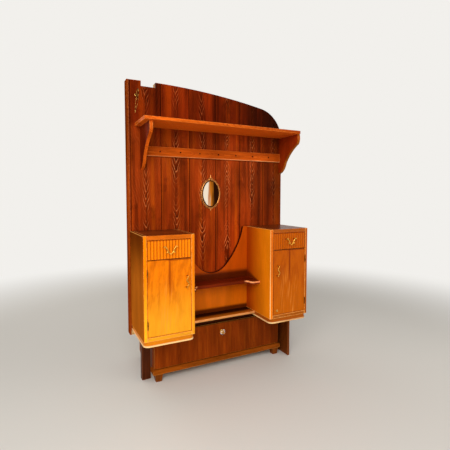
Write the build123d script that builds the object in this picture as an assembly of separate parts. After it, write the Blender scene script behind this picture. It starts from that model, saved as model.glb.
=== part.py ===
"""Wagon partition with a fitted dresser.

A tongue-and-groove partition follows the bowed roof of a living wagon. On its front hang
a hat rack, a small oval mirror and an old dressing table whose two cabinets flank a pair
of shelves. A long base chest with one drawer stands on feet under the partition.

Row frame, in millimetres: X to the right along the partition, Y back through it, Z up.
The origin is on the floor, under the middle of the partition's front face.
"""
import math
import os

from build123d import *

# Driving dimensions
WIDTH = 1300
LEFT = -WIDTH / 2
RIGHT = WIDTH / 2
FRONT_REACH = 394
BOARD_T = 20
FRAME_T = 45
FRAME_BACK = BOARD_T + FRAME_T
STILE_W = 60
REAR_RAIL_Z = (1075, 1640)
LIPPING_T = 10
LIPPING_EDGE_R = 3

# Bowed roof line: one long arc over the wagon and one short arc down into the side wall
ROOF_R = 5100
ROOF_TOP = 2159
ROOF_APEX_X = LEFT + 150
EAVE_R = 250
BEAM_NOTCH = (100, 205, 2122)

# Sole rail and legs
SOLE_Z = (355, 385)
LEG_LEFT = (82, 145)
LEG_RIGHT = (1245, 1300)
CHEEK_T = 18
CHEEK_REACH = 145

# Boards: the first joint and the pitch, measured from the left edge
FIRST_JOINT = 131
BOARD_PITCH = 109.3
BOARD_COUNT = 12
JOINT_GAP = 0.4
V_GROOVE = 2.6
TONGUE = 6

# Hat rack
SHELF_X = (54, 1296)
SHELF_Z = (1840, 1862)
SHELF_REACH = 280
SHELF_EDGE_R = 7
# Radii of the shelf's front corners, left and right
SHELF_CORNERS = (12, 24)
BRACKET_T = 22
BRACKET_X = (90, 1274)
BRACKET_H = 303
# Three arcs of the bracket's scroll, as reach from the boards and drop from the shelf
BRACKET_SCROLL = ((255, 0), (262, 32), (247, 77), (160, 134), (89, 214), (68, 256), (34, 288))
RAIL_Z = (1637, 1706)
RAIL_T = 20
RAIL_EDGE_R = 5
PEG_R = 6
PEG_PITCH = 155
PEG_COUNT = 7

# Oval mirror
MIRROR_X = 632
MIRROR_Z = 1368
MIRROR_GLASS = (64, 96)
MIRROR_END_R = 48
MIRROR_RING = 23
MIRROR_LIP = 4
MIRROR_LIP_T = 3
MIRROR_GLASS_T = 3
MIRROR_T = 12
# Crest above and drop below: centre X and Z, length and width of each upright pointed leaf
MIRROR_CREST = ((0, 128, 46, 18), (-13, 119, 32, 16), (13, 119, 32, 16), (0, -122, 34, 17))
# Angles from the top of the small round scrolls along the ring
MIRROR_SCROLLS = (-66, -44, 44, 66)
MIRROR_SCROLL_R = 9

# Curtain pole ring
POLE_X = 65
POLE_Z = 2055
POLE_BORE_R = 26
POLE_WIRE = 6
POLE_STEM = 14
POLE_STEM_R = 2.2
POLE_NECK = 8

# Dresser cabinets
CABINET_W = 345
CABINET_D = 366
CABINET_Z = (431, 1103)
CASE_T = 24
# Radii of a cabinet side's front edges, outside and inside
CASE_EDGES = (9, 4)
CASE_RAIL_SET_BACK = 1
BACK_T = 8
BACK_INSET = 2
PLINTH_H = 37
PLINTH_INSET = 6
PLINTH_CORNER_R = 34
PLINTH_LIP_H = 9
PLINTH_LIP = 4
CABINETS = (("left", 10, -1), ("right", 953, 1))
SEAM = 5
HINGE_SEAM = 3
PLAY = 5
FRONT_T = 20
DOOR_EDGE_R = 1.5
DIVIDER_Z = (937, 949)
DRAWER_FRONT_Z = (950, 1074)
DRAWER_FRONT_R = 5
INNER_SHELF_Z = (690, 706)
INNER_SHELF_SET_BACK = 45
REED_COUNT = 14
REED_RISE = 4.5
HINGE_Z = (513, 845)
HINGE_H = 46
HINGE_R = 3.8
HINGE_OUT = 4.2
HINGE_LEAF_T = 1.4

# Cast pulls: the line each bar winds along, as X and Z from the middle of the pull
DRAWER_PULL = ((-42, 33), (-21, 16), (-14, -22), (14, -22), (21, 16), (42, 33))
DRAWER_PULL_BEND = 12
DRAWER_PULL_Z = 1000
DOOR_PULL = ((5, 36), (-9, 12), (9, -12), (-5, -36))
DOOR_PULL_BEND = 10
DOOR_PULL_Z = 794
DOOR_PULL_INSET = 30
PULL_W = 6
PULL_T = 6
STUD_R = 4.5
STUD_SIDES = 8

# Dresser middle: back panel with its hollow curve, and two shelves
PANEL_T = 18
HOLLOW_X = 642
HOLLOW_LOW = 745
HOLLOW_HALF = 276
# Half width and rise of the round bowl at the bottom of the hollow
HOLLOW_BOWL = (110, 46)
UPPER_SHELF_Z = (669, 692)
UPPER_SHELF_REACH = (158, 221)
# The S-curve of the upper shelf's front, from the middle of the shelf
SWELL_X = (200, 250)
SWELL_BOW = 6
LOWER_SHELF_Z = (409, 431)
LOWER_SHELF_REACH = 138
LOWER_SHELF_NOSE_R = 8

# Base chest
CHEST_X = (155, 1234)
CHEST_Z = (57, 355)
CHEST_FRONT = -47
CHEST_T = 18
MOULDING_Z = (57, 90)
MOULDING_OUT = 12
MOULDING_R = 11
FOOT_TOP = 57
FOOT_TAPER = 7
BASE_FRONT_Z = (95, 360)
BASE_FRONT_R = 3
KNOB_Z = 288
KNOB_SIDES = 8
KNOB_ROSE = (13, 4)
KNOB_NECK = (8, 15)
# Half of the glass knob's side outline: radius and distance from the drawer front
KNOB_OUTLINE = ((13, 15), (22, 23), (22, 30), (13, 38))

pieces = {}


def from_left(distance):
    """A distance from the partition's left edge, as X."""
    return LEFT + distance


def block(x, y, z):
    """A box between two X, two Y and two Z values."""
    size = [hi - lo for lo, hi in (x, y, z)]
    middle = [(hi + lo) / 2 for lo, hi in (x, y, z)]
    return Pos(*middle) * Box(*size)


def plate(wire, y0, y1):
    """A flat shape drawn in X and Z, given thickness from y0 to y1."""
    face = make_face(Plane.XZ * wire)
    return Pos(0, y0, 0) * extrude(face, y1 - y0, dir=(0, 1, 0))


def slab(wire, z0, z1):
    """A flat shape drawn in X and Y, given thickness from z0 to z1."""
    return Pos(0, 0, z0) * extrude(make_face(wire), z1 - z0, dir=(0, 0, 1))


def cheek(wire, x0, x1):
    """A flat shape drawn in Y and Z, given thickness from x0 to x1."""
    face = make_face(Plane.YZ * wire)
    return Pos(x0, 0, 0) * extrude(face, x1 - x0, dir=(1, 0, 0))


def roof_outline(inset, bottom, left=LEFT, right=RIGHT):
    """The area under the roof line, drawn in X and Z, its roof side moved in by inset."""
    big_r = ROOF_R - inset
    small_r = EAVE_R - inset
    big_z = ROOF_TOP - ROOF_R
    small_x = RIGHT - EAVE_R
    reach = small_x - ROOF_APEX_X
    lift = math.sqrt((ROOF_R - EAVE_R) ** 2 - reach**2)
    small_z = big_z + lift
    turn = math.atan2(reach, lift)

    def on_roof(x):
        return big_z + math.sqrt(big_r**2 - (x - ROOF_APEX_X) ** 2)

    meet = (small_x + small_r * math.sin(turn), small_z + small_r * math.cos(turn))
    middle_x = (left + meet[0]) / 2
    half = (turn + math.pi / 2) / 2
    corner = (small_x + small_r * math.sin(half), small_z + small_r * math.cos(half))
    wall_x = small_x + small_r
    roof = ThreePointArc((left, on_roof(left)), (middle_x, on_roof(middle_x)), meet)
    eave = ThreePointArc(meet, corner, (wall_x, small_z))
    sides = Polyline((wall_x, small_z), (wall_x, bottom), (left, bottom), (left, on_roof(left)))
    return roof + eave + sides, small_z


def partition():
    """Boards, edge lipping, rear frame, sole rail and legs."""
    sole_top = SOLE_Z[1]
    outline, eave_z = roof_outline(0, sole_top)
    notch = block(
        (from_left(BEAM_NOTCH[0]), from_left(BEAM_NOTCH[1])),
        (-10, FRAME_BACK + 10),
        (BEAM_NOTCH[2], ROOF_TOP + 50),
    )
    under_roof = plate(outline, 0, BOARD_T) - notch
    joints = [from_left(FIRST_JOINT + BOARD_PITCH * i) for i in range(BOARD_COUNT - 1)]
    edges = [LEFT + LIPPING_T, *joints, RIGHT]
    boards = []
    for left, right in zip(edges[:-1], edges[1:]):
        boards.append(board(left, right, sole_top) & under_roof)
    pieces["partition_boards"] = Compound(children=[b.solids()[0] for b in boards])

    lipping = block((LEFT, LEFT + LIPPING_T), (-3, FRAME_BACK), (SOLE_Z[0], ROOF_TOP))
    lipping = lipping & plate(roof_outline(0, SOLE_Z[0])[0], -3, FRAME_BACK)
    pieces["edge_lipping"] = fillet(
        lipping.edges().filter_by(Axis.Z).group_by(Axis.Y)[0], LIPPING_EDGE_R
    )

    rib_low = eave_z - STILE_W
    inner, _ = roof_outline(STILE_W, sole_top, left=LEFT + LIPPING_T)
    outer, _ = roof_outline(0, rib_low, left=LEFT + LIPPING_T)
    inside = plate(inner, BOARD_T, FRAME_BACK)
    pieces["roof_rib"] = plate(outer, BOARD_T, FRAME_BACK) - inside - notch
    stile_left = block(
        (LEFT + LIPPING_T, LEFT + LIPPING_T + STILE_W),
        (BOARD_T, FRAME_BACK),
        (sole_top, ROOF_TOP),
    )
    pieces["rear_stile_left"] = stile_left & inside
    pieces["rear_stile_right"] = block(
        (RIGHT - STILE_W, RIGHT), (BOARD_T, FRAME_BACK), (sole_top, rib_low)
    )
    span = (LEFT + LIPPING_T + STILE_W, RIGHT - STILE_W)
    for name, low in zip(("rear_rail_low", "rear_rail_high"), REAR_RAIL_Z):
        pieces[name] = block(span, (BOARD_T, FRAME_BACK), (low, low + STILE_W))

    pieces["sole_rail"] = block((LEFT + LIPPING_T, RIGHT), (0, FRAME_BACK), SOLE_Z)
    for name, span in (("leg_left", LEG_LEFT), ("leg_right", LEG_RIGHT)):
        x = (from_left(span[0]), from_left(span[1]))
        pieces[name] = block(x, (0, FRAME_T), (0, SOLE_Z[0]))
    pieces["wall_cheek"] = block(
        (RIGHT - CHEEK_T, RIGHT), (-CHEEK_REACH, 0), (0, CABINET_Z[0] - PLINTH_H)
    )


def board(left, right, bottom):
    """One board: a tongue on its left edge, a groove in its right, both front edges eased."""
    left += JOINT_GAP / 2
    right -= JOINT_GAP / 2
    mid = BOARD_T / 2
    tongue_half = TONGUE / 2
    groove_half = tongue_half + 0.3
    depth = TONGUE + 0.5
    first = left < LEFT + LIPPING_T + 1
    last = right > RIGHT - 1
    outline = [(left + V_GROOVE, 0)]
    if first:
        outline = [(left, 0), (left, BOARD_T)]
    else:
        outline += [(left, V_GROOVE), (left, mid - tongue_half)]
        outline += [(left - TONGUE, mid - tongue_half), (left - TONGUE, mid + tongue_half)]
        outline += [(left, mid + tongue_half), (left, BOARD_T)]
    if last:
        outline += [(right, BOARD_T), (right, 0)]
    else:
        outline += [(right, BOARD_T), (right, mid + groove_half)]
        outline += [(right - depth, mid + groove_half), (right - depth, mid - groove_half)]
        outline += [(right, mid - groove_half), (right, V_GROOVE), (right - V_GROOVE, 0)]
    return slab(Polyline(*outline, close=True), bottom, ROOF_TOP + 10)


def hat_rack():
    """Shelf, two scrolled brackets and the peg rail between them."""
    x = (from_left(SHELF_X[0]), from_left(SHELF_X[1]))
    shelf = block(x, (-SHELF_REACH, 0), SHELF_Z)
    plan = shelf
    for radius, corner in zip(SHELF_CORNERS, (0, -1)):
        front_corners = plan.edges().filter_by(Axis.Z).group_by(Axis.Y)[0].sort_by(Axis.X)
        plan = fillet(front_corners[corner], radius)
    front = shelf.faces().sort_by(Axis.Y)[0].edges().filter_by(Axis.X)
    pieces["hat_shelf"] = fillet(front, SHELF_EDGE_R) & plan

    top = SHELF_Z[0]
    points = [(-reach, top - drop) for reach, drop in BRACKET_SCROLL]
    scroll = Polyline((0, top - BRACKET_H), (0, top), points[0])
    for i in range(0, len(points) - 1, 2):
        scroll += ThreePointArc(*points[i : i + 3])
    scroll += Line(points[-1], (0, top - BRACKET_H))
    for name, start in zip(("bracket_left", "bracket_right"), BRACKET_X):
        left = from_left(start)
        pieces[name] = cheek(scroll, left, left + BRACKET_T)

    rail_x = (from_left(BRACKET_X[0]) + BRACKET_T, from_left(BRACKET_X[1]))
    rail = block(rail_x, (-RAIL_T, 0), RAIL_Z)
    low_front = rail.edges().filter_by(Axis.X).group_by(Axis.Y)[0]
    rail = fillet(low_front, RAIL_EDGE_R)
    middle = (rail_x[0] + rail_x[1]) / 2
    for i in range(PEG_COUNT):
        x_peg = middle + (i - (PEG_COUNT - 1) / 2) * PEG_PITCH
        hole = Pos(x_peg, -RAIL_T / 2, sum(RAIL_Z) / 2) * Rot(90, 0, 0)
        rail -= hole * Cylinder(PEG_R, RAIL_T + 2)
    pieces["peg_rail"] = rail


def oval(grow):
    """The outline of the mirror's glass as an oval of four arcs, its edge moved out by grow."""
    half_w, half_h = MIRROR_GLASS
    end_rise = half_h - MIRROR_END_R
    side_r = (half_w**2 + end_rise**2 - MIRROR_END_R**2) / (2 * (half_w - MIRROR_END_R))
    side_reach = side_r - half_w
    turn = math.atan2(end_rise, side_reach)
    x = (MIRROR_END_R + grow) * math.cos(turn)
    z = end_rise + (MIRROR_END_R + grow) * math.sin(turn)
    half_w += grow
    half_h += grow
    wire = ThreePointArc((x, z), (0, half_h), (-x, z)) + ThreePointArc((-x, z), (-half_w, 0), (-x, -z))
    wire += ThreePointArc((-x, -z), (0, -half_h), (x, -z)) + ThreePointArc((x, -z), (half_w, 0), (x, z))
    return make_face(wire)


def oval_mirror():
    """A small wall mirror: a gilt oval ring with a crest, side scrolls and a drop, and its glass."""
    centre = Pos(from_left(MIRROR_X), 0, MIRROR_Z)
    outer_w, outer_h = (half + MIRROR_RING for half in MIRROR_GLASS)
    outline = oval(MIRROR_RING)
    for x, z, length, width in MIRROR_CREST:
        corners = ((0, length / 2), (width / 2, 0), (0, -length / 2), (-width / 2, 0))
        outline += Pos(x, z) * make_face(Polyline(*corners, close=True))
    for angle in MIRROR_SCROLLS:
        a = math.radians(angle)
        outline += Pos(outer_w * math.sin(a), outer_h * math.cos(a)) * Circle(MIRROR_SCROLL_R)
    rebate = MIRROR_T - MIRROR_LIP_T
    ring = extrude(Plane.XZ * outline, MIRROR_T)
    ring -= extrude(Plane.XZ * oval(-MIRROR_LIP), MIRROR_T)
    ring -= extrude(Plane.XZ * oval(0), rebate)
    pieces["mirror_frame"] = centre * ring
    glass = extrude(Plane.XZ * oval(-0.3), MIRROR_GLASS_T)
    pieces["mirror_glass"] = centre * Pos(0, MIRROR_GLASS_T - rebate, 0) * glass


def pole_ring():
    """Brass ring on a neck and a screw stem, which the curtain pole passes through."""
    x = from_left(POLE_X)
    outer_r = POLE_BORE_R + POLE_WIRE
    stem = Pos(x, -POLE_STEM / 2, POLE_Z) * Rot(90, 0, 0) * Cylinder(POLE_STEM_R, POLE_STEM)
    middle = Pos(x, -POLE_STEM - outer_r, POLE_Z) * Rot(0, 90, 0)
    neck = Pos(x, -POLE_STEM - POLE_WIRE / 2, POLE_Z) * Box(POLE_WIRE, POLE_WIRE, POLE_NECK)
    ring = neck + middle * Cylinder(outer_r, POLE_WIRE)
    pieces["pole_ring"] = stem + (ring - middle * Cylinder(POLE_BORE_R, POLE_WIRE + 2))


def cabinet(side, start, hand):
    """One cabinet of the dresser. hand is -1 where the door hangs on the left."""
    x0 = from_left(start)
    x1 = x0 + CABINET_W
    low, high = CABINET_Z
    front = -CABINET_D
    inner = (x0 + CASE_T, x1 - CASE_T)

    for name, x in (("side_left", (x0, x0 + CASE_T)), ("side_right", (x1 - CASE_T, x1))):
        panel = block(x, (front, 0), (low, high))
        uprights = panel.edges().filter_by(Axis.Z).group_by(Axis.Y)[0].sort_by(Axis.X)
        outer_edge = uprights[0] if name == "side_left" else uprights[-1]
        inner_edge = uprights[-1] if name == "side_left" else uprights[0]
        panel = fillet(outer_edge, CASE_EDGES[0])
        edges = panel.edges().filter_by(Axis.Z).group_by(Axis.Y)[0]
        near = min(edges, key=lambda e: abs(e.center().X - inner_edge.center().X))
        pieces[f"{side}_{name}"] = fillet(near, CASE_EDGES[1])
    rail_y = (front + CASE_RAIL_SET_BACK, 0)
    pieces[f"{side}_top"] = block(inner, rail_y, (high - CASE_T, high))
    pieces[f"{side}_bottom"] = block(inner, rail_y, (low, low + CASE_T))
    back_z = (low + CASE_T, high - CASE_T)
    back_y = (-BACK_T - BACK_INSET, -BACK_INSET)
    pieces[f"{side}_back"] = block(inner, back_y, back_z)
    shelf_y = (front + FRONT_T + PLAY, back_y[0])
    pieces[f"{side}_divider"] = block(inner, shelf_y, DIVIDER_Z)
    inner_y = (front + FRONT_T + INNER_SHELF_SET_BACK, back_y[0])
    pieces[f"{side}_inner_shelf"] = block(inner, inner_y, INNER_SHELF_Z)

    plinth_x = (x0 + PLINTH_INSET, x1 - PLINTH_INSET)
    plinth_z = (low - PLINTH_H, low)
    plinth = plinth_band(plinth_x, front + PLINTH_INSET, plinth_z, 0)
    lip_z = (plinth_z[0], plinth_z[0] + PLINTH_LIP_H)
    lip = plinth_band(plinth_x, front + PLINTH_INSET, lip_z, PLINTH_LIP)
    hollow = block(
        (plinth_x[0] + FRONT_T, plinth_x[1] - FRONT_T),
        (front + PLINTH_INSET + FRONT_T, 10),
        (plinth_z[0] - 1, plinth_z[1] + 1),
    )
    pieces[f"{side}_plinth"] = plinth + lip - hollow

    door(side, inner, hand)
    small_drawer(side, inner)


def plinth_band(x, front, z, out):
    """A block with rounded front corners, its front and sides moved out by out."""
    body = block((x[0] - out, x[1] + out), (front - out, 0), z)
    return fillet(body.edges().filter_by(Axis.Z).group_by(Axis.Y)[0], PLINTH_CORNER_R + out)


def door(side, inner, hand):
    """The inset door, its two hinges and its wavy upright pull."""
    front = -CABINET_D
    seams = (HINGE_SEAM, SEAM) if hand < 0 else (SEAM, HINGE_SEAM)
    x = (inner[0] + seams[0], inner[1] - seams[1])
    z = (CABINET_Z[0] + CASE_T + SEAM, DRAWER_FRONT_Z[0] - SEAM)
    panel = block(x, (front, front + FRONT_T), z)
    face = panel.faces().sort_by(Axis.Y)[0]
    pieces[f"{side}_door"] = fillet(face.edges(), DOOR_EDGE_R)

    hinge_edge = x[0] if hand < 0 else x[1]
    pin_x = hinge_edge + hand * HINGE_SEAM / 2
    pin_y = front - HINGE_OUT
    leaf_x = tuple(sorted((hinge_edge, hinge_edge + hand * HINGE_LEAF_T)))
    barrels = []
    for low in HINGE_Z:
        barrel = Pos(pin_x, pin_y, low + HINGE_H / 2) * Cylinder(HINGE_R, HINGE_H)
        leaf = block(leaf_x, (pin_y, front + FRONT_T), (low, low + HINGE_H))
        barrels.append((barrel + leaf).solids()[0])
    pieces[f"{side}_hinges"] = Compound(children=barrels)

    pull_x = (x[1] - DOOR_PULL_INSET) if hand < 0 else (x[0] + DOOR_PULL_INSET)
    pull = cast_pull(DOOR_PULL, DOOR_PULL_BEND, pull_x, DOOR_PULL_Z, front)
    pieces[f"{side}_door_pull"] = pull


def cast_pull(points, bend, centre_x, centre_z, front):
    """A flat cast pull: a bar with round ends that winds through points on two faceted studs."""
    bar_back = -FRONT_REACH + PULL_T
    outline = SlotArc(FilletPolyline(*points, radius=bend), PULL_W)
    pull = extrude(Plane.XZ * outline, PULL_T)
    length = front - bar_back + PULL_T
    stud = extrude(Plane.XZ * RegularPolygon(STUD_R, STUD_SIDES), -length)
    for x, z in (points[0], points[-1]):
        pull += Pos(x, -PULL_T, z) * stud
    return Pos(centre_x, bar_back, centre_z) * pull


def small_drawer(side, inner):
    """The drawer over the door: reeded front, dovetailed box and bow pull."""
    front = -CABINET_D
    x = (inner[0] + SEAM, inner[1] - SEAM)
    z = DRAWER_FRONT_Z
    pitch = (x[1] - x[0]) / REED_COUNT
    valley = front + REED_RISE
    reeds = Polyline((x[0], valley), (x[0], front + FRONT_T), (x[1], front + FRONT_T), (x[1], valley))
    for i in range(REED_COUNT):
        a = x[1] - i * pitch
        reeds += ThreePointArc((a, valley), (a - pitch / 2, front), (a - pitch, valley))
    body = slab(reeds, z[0], z[1])
    eased = block(x, (front, front + FRONT_T), z)
    long_edges = eased.edges().filter_by(Axis.X).group_by(Axis.Y)[0]
    reeded = body & fillet(long_edges, DRAWER_FRONT_R)
    pieces[f"{side}_drawer_front"] = reeded

    box_x = (inner[0] + PLAY, inner[1] - PLAY)
    box_y = (front + FRONT_T, -BACK_T - 2 - 20)
    box_z = (DIVIDER_Z[1] + PLAY, CABINET_Z[1] - CASE_T - PLAY - 8)
    pieces[f"{side}_drawer_box"] = drawer_box(box_x, box_y, box_z, 9, 6)

    middle = (x[0] + x[1]) / 2
    pull = cast_pull(DRAWER_PULL, DRAWER_PULL_BEND, middle, DRAWER_PULL_Z, front + REED_RISE)
    pieces[f"{side}_drawer_pull"] = pull - reeded


def drawer_box(x, y, z, wall, base):
    """An open box: four walls and a bottom."""
    outside = block(x, y, z)
    inside = block((x[0] + wall, x[1] - wall), (y[0] + wall, y[1] - wall), (z[0] + base, z[1] + 1))
    return outside - inside


def dresser_middle():
    """The back panel with its hollow top edge, and the two shelves between the cabinets."""
    left = from_left(CABINETS[0][1] + CABINET_W)
    right = from_left(CABINETS[1][1])
    hollow_x = from_left(HOLLOW_X)
    top = CABINET_Z[1]
    # Bottom bowl of the hollow, then one long flatter arc up each side
    bowl_half, bowl_rise = HOLLOW_BOWL
    bowl_r = (bowl_half**2 + bowl_rise**2) / (2 * bowl_rise)
    slope = math.asin(bowl_half / bowl_r)
    start = (bowl_half, HOLLOW_LOW + bowl_rise)
    end = (HOLLOW_HALF, top)
    chord = math.atan2(end[1] - start[1], end[0] - start[0])
    bulge = math.dist(start, end) / 2 * math.tan((chord - slope) / 2)
    half_way = (
        (start[0] + end[0]) / 2 + bulge * math.sin(chord),
        (start[1] + end[1]) / 2 - bulge * math.cos(chord),
    )
    panel = (
        Polyline((hollow_x - end[0], top), (left, top), (left, LOWER_SHELF_Z[1]))
        + Polyline((left, LOWER_SHELF_Z[1]), (right, LOWER_SHELF_Z[1]), (right, top))
        + Line((right, top), (hollow_x + end[0], top))
        + ThreePointArc(
            (hollow_x + end[0], top),
            (hollow_x + half_way[0], half_way[1]),
            (hollow_x + start[0], start[1]),
        )
        + ThreePointArc(
            (hollow_x + start[0], start[1]),
            (hollow_x, HOLLOW_LOW),
            (hollow_x - start[0], start[1]),
        )
        + ThreePointArc(
            (hollow_x - start[0], start[1]),
            (hollow_x - half_way[0], half_way[1]),
            (hollow_x - end[0], top),
        )
    )
    pieces["hollow_back_panel"] = plate(panel, -PANEL_T, 0)

    # The upper shelf's front swells out to meet each cabinet
    middle = (left + right) / 2
    narrow, wide = (-reach for reach in UPPER_SHELF_REACH)
    turn_in, turn_out = SWELL_X
    mid_turn = (turn_in + turn_out) / 2
    ease_x = (turn_out - turn_in) / 4
    mid_y = (wide + narrow) / 2
    plan = Polyline((left, wide), (left, -PANEL_T), (right, -PANEL_T), (right, wide))
    plan += Line((right, wide), (middle + turn_out, wide))
    for sign, order in ((1, 1), (-1, -1)):
        swell = [
            ThreePointArc(
                (middle + sign * turn_out, wide),
                (middle + sign * (turn_out - ease_x), wide + SWELL_BOW),
                (middle + sign * mid_turn, mid_y),
            ),
            ThreePointArc(
                (middle + sign * mid_turn, mid_y),
                (middle + sign * (turn_in + ease_x), narrow - SWELL_BOW),
                (middle + sign * turn_in, narrow),
            ),
        ]
        for arc in swell[::order]:
            plan += arc
    plan += Line((middle + turn_in, narrow), (middle - turn_in, narrow))
    plan += Line((middle - turn_out, wide), (left, wide))
    pieces["upper_shelf"] = slab(plan, *UPPER_SHELF_Z)

    overlap = PLINTH_INSET
    low_shelf = block((left - overlap, right + overlap), (-LOWER_SHELF_REACH, 0), LOWER_SHELF_Z)
    nose = low_shelf.edges().filter_by(Axis.X).group_by(Axis.Y)[0]
    pieces["lower_shelf"] = fillet(nose, LOWER_SHELF_NOSE_R)


def base_chest():
    """The long chest on feet, with its moulding, its one drawer and its glass knob."""
    x0, x1 = (from_left(v) for v in CHEST_X)
    back = FRONT_REACH
    low, high = CHEST_Z
    y = (CHEST_FRONT, back - BACK_T)
    pieces["chest_side_left"] = block((x0, x0 + CHEST_T), y, CHEST_Z)
    pieces["chest_side_right"] = block((x1 - CHEST_T, x1), y, CHEST_Z)
    pieces["chest_back"] = block((x0, x1), (back - BACK_T, back), CHEST_Z)
    inner = (x0 + CHEST_T, x1 - CHEST_T)
    pieces["chest_bottom"] = block(inner, y, (low + 21, low + 33))
    pieces["chest_top"] = block(inner, y, (high - 12, high))

    front = CHEST_FRONT - PLAY - FRONT_T
    out = MOULDING_OUT
    band = block((x0 - out, x1 + out), (front - out, -6), MOULDING_Z)
    upper = band.faces().sort_by(Axis.Z)[-1].edges()
    upper = [e for e in upper if e.center().Y < -7]
    band = fillet(upper, MOULDING_R)
    carcass = block((x0, x1), (CHEST_FRONT, 10), (MOULDING_Z[0] - 1, MOULDING_Z[1] + 1))
    pieces["chest_moulding"] = band - carcass

    feet = []
    foot_y = (front - out + 4, back - FOOT_TOP)
    for foot_x in (x0 + 3, x1 - 3 - FOOT_TOP):
        for start_y in foot_y:
            top = Pos(foot_x + FOOT_TOP / 2, start_y + FOOT_TOP / 2, CHEST_Z[0])
            feet.append(top * tapered_foot())
    pieces["chest_feet"] = Compound(children=feet)

    box_x = (inner[0] + PLAY, inner[1] - PLAY)
    box_z = (low + 33 + PLAY, high - 12 - PLAY - 6)
    box_y = (front + FRONT_T, back - BACK_T - 30)
    pieces["base_drawer_box"] = drawer_box(box_x, box_y, box_z, 12, 8)
    panel = block((x0, x1), (front, front + FRONT_T), BASE_FRONT_Z)
    face_edges = panel.faces().sort_by(Axis.Y)[0].edges()
    pieces["base_drawer_front"] = fillet(face_edges, BASE_FRONT_R)
    middle = (x0 + x1) / 2
    pieces["base_drawer_knob"] = Pos(middle, front, KNOB_Z) * faceted_knob()


def tapered_foot():
    """A square foot, its top at Z 0, narrower towards the floor."""
    half = FOOT_TOP / 2
    sole = half - FOOT_TAPER
    outline = ((-sole, -CHEST_Z[0]), (-half, 0), (half, 0), (sole, -CHEST_Z[0]))
    return crossed(outline, FOOT_TOP, 2).solids()[0]


def crossed(outline, width, turns):
    """One XZ outline extruded over width at even turns about Z, and their shared body."""
    prism = extrude(make_face(Plane.XZ * Polyline(*outline, close=True)), width / 2, both=True)
    body = prism
    for i in range(1, turns):
        body = body & Rot(0, 0, 180 * i / turns) * prism
    return body


def faceted_knob():
    """A cut-glass knob on a faceted brass rose and neck, pointing towards -Y."""
    outline = [*KNOB_OUTLINE, *((-r, z) for r, z in reversed(KNOB_OUTLINE))]
    knob = crossed(outline, 2 * max(r for r, _ in KNOB_OUTLINE), KNOB_SIDES // 2)
    for radius, length in (KNOB_ROSE, KNOB_NECK):
        knob += extrude(RegularPolygon(radius, KNOB_SIDES), length)
    return Rot(90, 0, 0) * knob


partition()
hat_rack()
oval_mirror()
pole_ring()
for cabinet_row in CABINETS:
    cabinet(*cabinet_row)
dresser_middle()
base_chest()

os.makedirs("parts", exist_ok=True)
for node, shape in pieces.items():
    export_step(shape, f"parts/{node}.step")
print(len(pieces), "nodes")
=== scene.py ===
"""Looks of a wagon partition with its fitted dresser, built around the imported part."""
import math
from typing import NamedTuple

import bmesh
import bpy
from bpy.props import FloatProperty, FloatVectorProperty, IntProperty, PointerProperty
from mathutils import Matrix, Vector


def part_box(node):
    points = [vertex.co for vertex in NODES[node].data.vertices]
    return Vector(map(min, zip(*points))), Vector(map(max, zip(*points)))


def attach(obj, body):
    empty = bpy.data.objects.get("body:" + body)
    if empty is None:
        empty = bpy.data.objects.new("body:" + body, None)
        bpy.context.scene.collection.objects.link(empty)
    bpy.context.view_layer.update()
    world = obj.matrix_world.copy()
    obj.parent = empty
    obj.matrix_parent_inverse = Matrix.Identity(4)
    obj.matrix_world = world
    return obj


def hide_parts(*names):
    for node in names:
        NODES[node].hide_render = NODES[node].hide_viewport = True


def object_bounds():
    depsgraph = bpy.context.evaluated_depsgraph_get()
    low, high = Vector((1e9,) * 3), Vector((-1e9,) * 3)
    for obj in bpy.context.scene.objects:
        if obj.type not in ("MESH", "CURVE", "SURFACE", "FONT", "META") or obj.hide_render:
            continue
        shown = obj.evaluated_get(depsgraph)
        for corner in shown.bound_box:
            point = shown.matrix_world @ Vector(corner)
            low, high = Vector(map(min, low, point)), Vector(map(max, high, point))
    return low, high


bl_info = {
    "name": "Wagon Partition with Fitted Dresser",
    "version": (1, 0, 0),
    "blender": (4, 5, 0),
    "location": "View3D > Sidebar > Partition",
    "description": "Finishes and fine pieces of a board partition, its hat rack, dresser and chest",
    "category": "Object",
}

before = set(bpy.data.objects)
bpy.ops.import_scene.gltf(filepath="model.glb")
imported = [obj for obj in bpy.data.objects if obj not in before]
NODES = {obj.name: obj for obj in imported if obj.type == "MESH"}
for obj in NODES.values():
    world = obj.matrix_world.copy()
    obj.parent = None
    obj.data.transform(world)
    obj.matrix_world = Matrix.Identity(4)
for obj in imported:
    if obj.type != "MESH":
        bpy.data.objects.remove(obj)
CAD_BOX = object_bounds()
SIDES = ("left", "right")
MM = 0.001
UP = (0, 0, 1)
DOWN = (0, 0, -1)
TO_ROOM = (0, -1, 0)

# Boards of the partition, measured as in the part's source
BOARD_START = 131 * MM
BOARD_PITCH = 109.3 * MM
BOARD_COUNT = 12
FIRST_BOARD = CAD_BOX[0].x + BOARD_START - BOARD_PITCH
# Two boards were sawn from one plank, whose middle lies at their joint
PLANK = 2 * BOARD_PITCH
# How light each board's stain came out, from the free edge to the side wall; the last boards are darker
# also as painted shade near the wall
BOARD_TONES = (0.9, 0.9, 0.84, 0.92, 0.9, 1.04, 1.08, 1.14, 1.08, 0.76, 0.58, 0.5)

# Arcs of the hollow's edge: centre from the hollow's middle, centre's height and radius
HOLLOW_MIDDLE = 642 * MM
HOLLOW_TOP = 1.10
BOWL_TOP = 791 * MM
BOWL_ARC = (0.0, 899.5 * MM, 154.5 * MM)
SIDE_ARC = (-330.4 * MM, 1225.5 * MM, 618.6 * MM)

# Dresser: each hinge's length and barrel radius, and how deep the openings' beads stand
HINGE_LENGTH = 46 * MM
HINGE_BARREL = 3.8 * MM
OPENING_BEAD_Y = (-364 * MM, -350 * MM)
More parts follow.
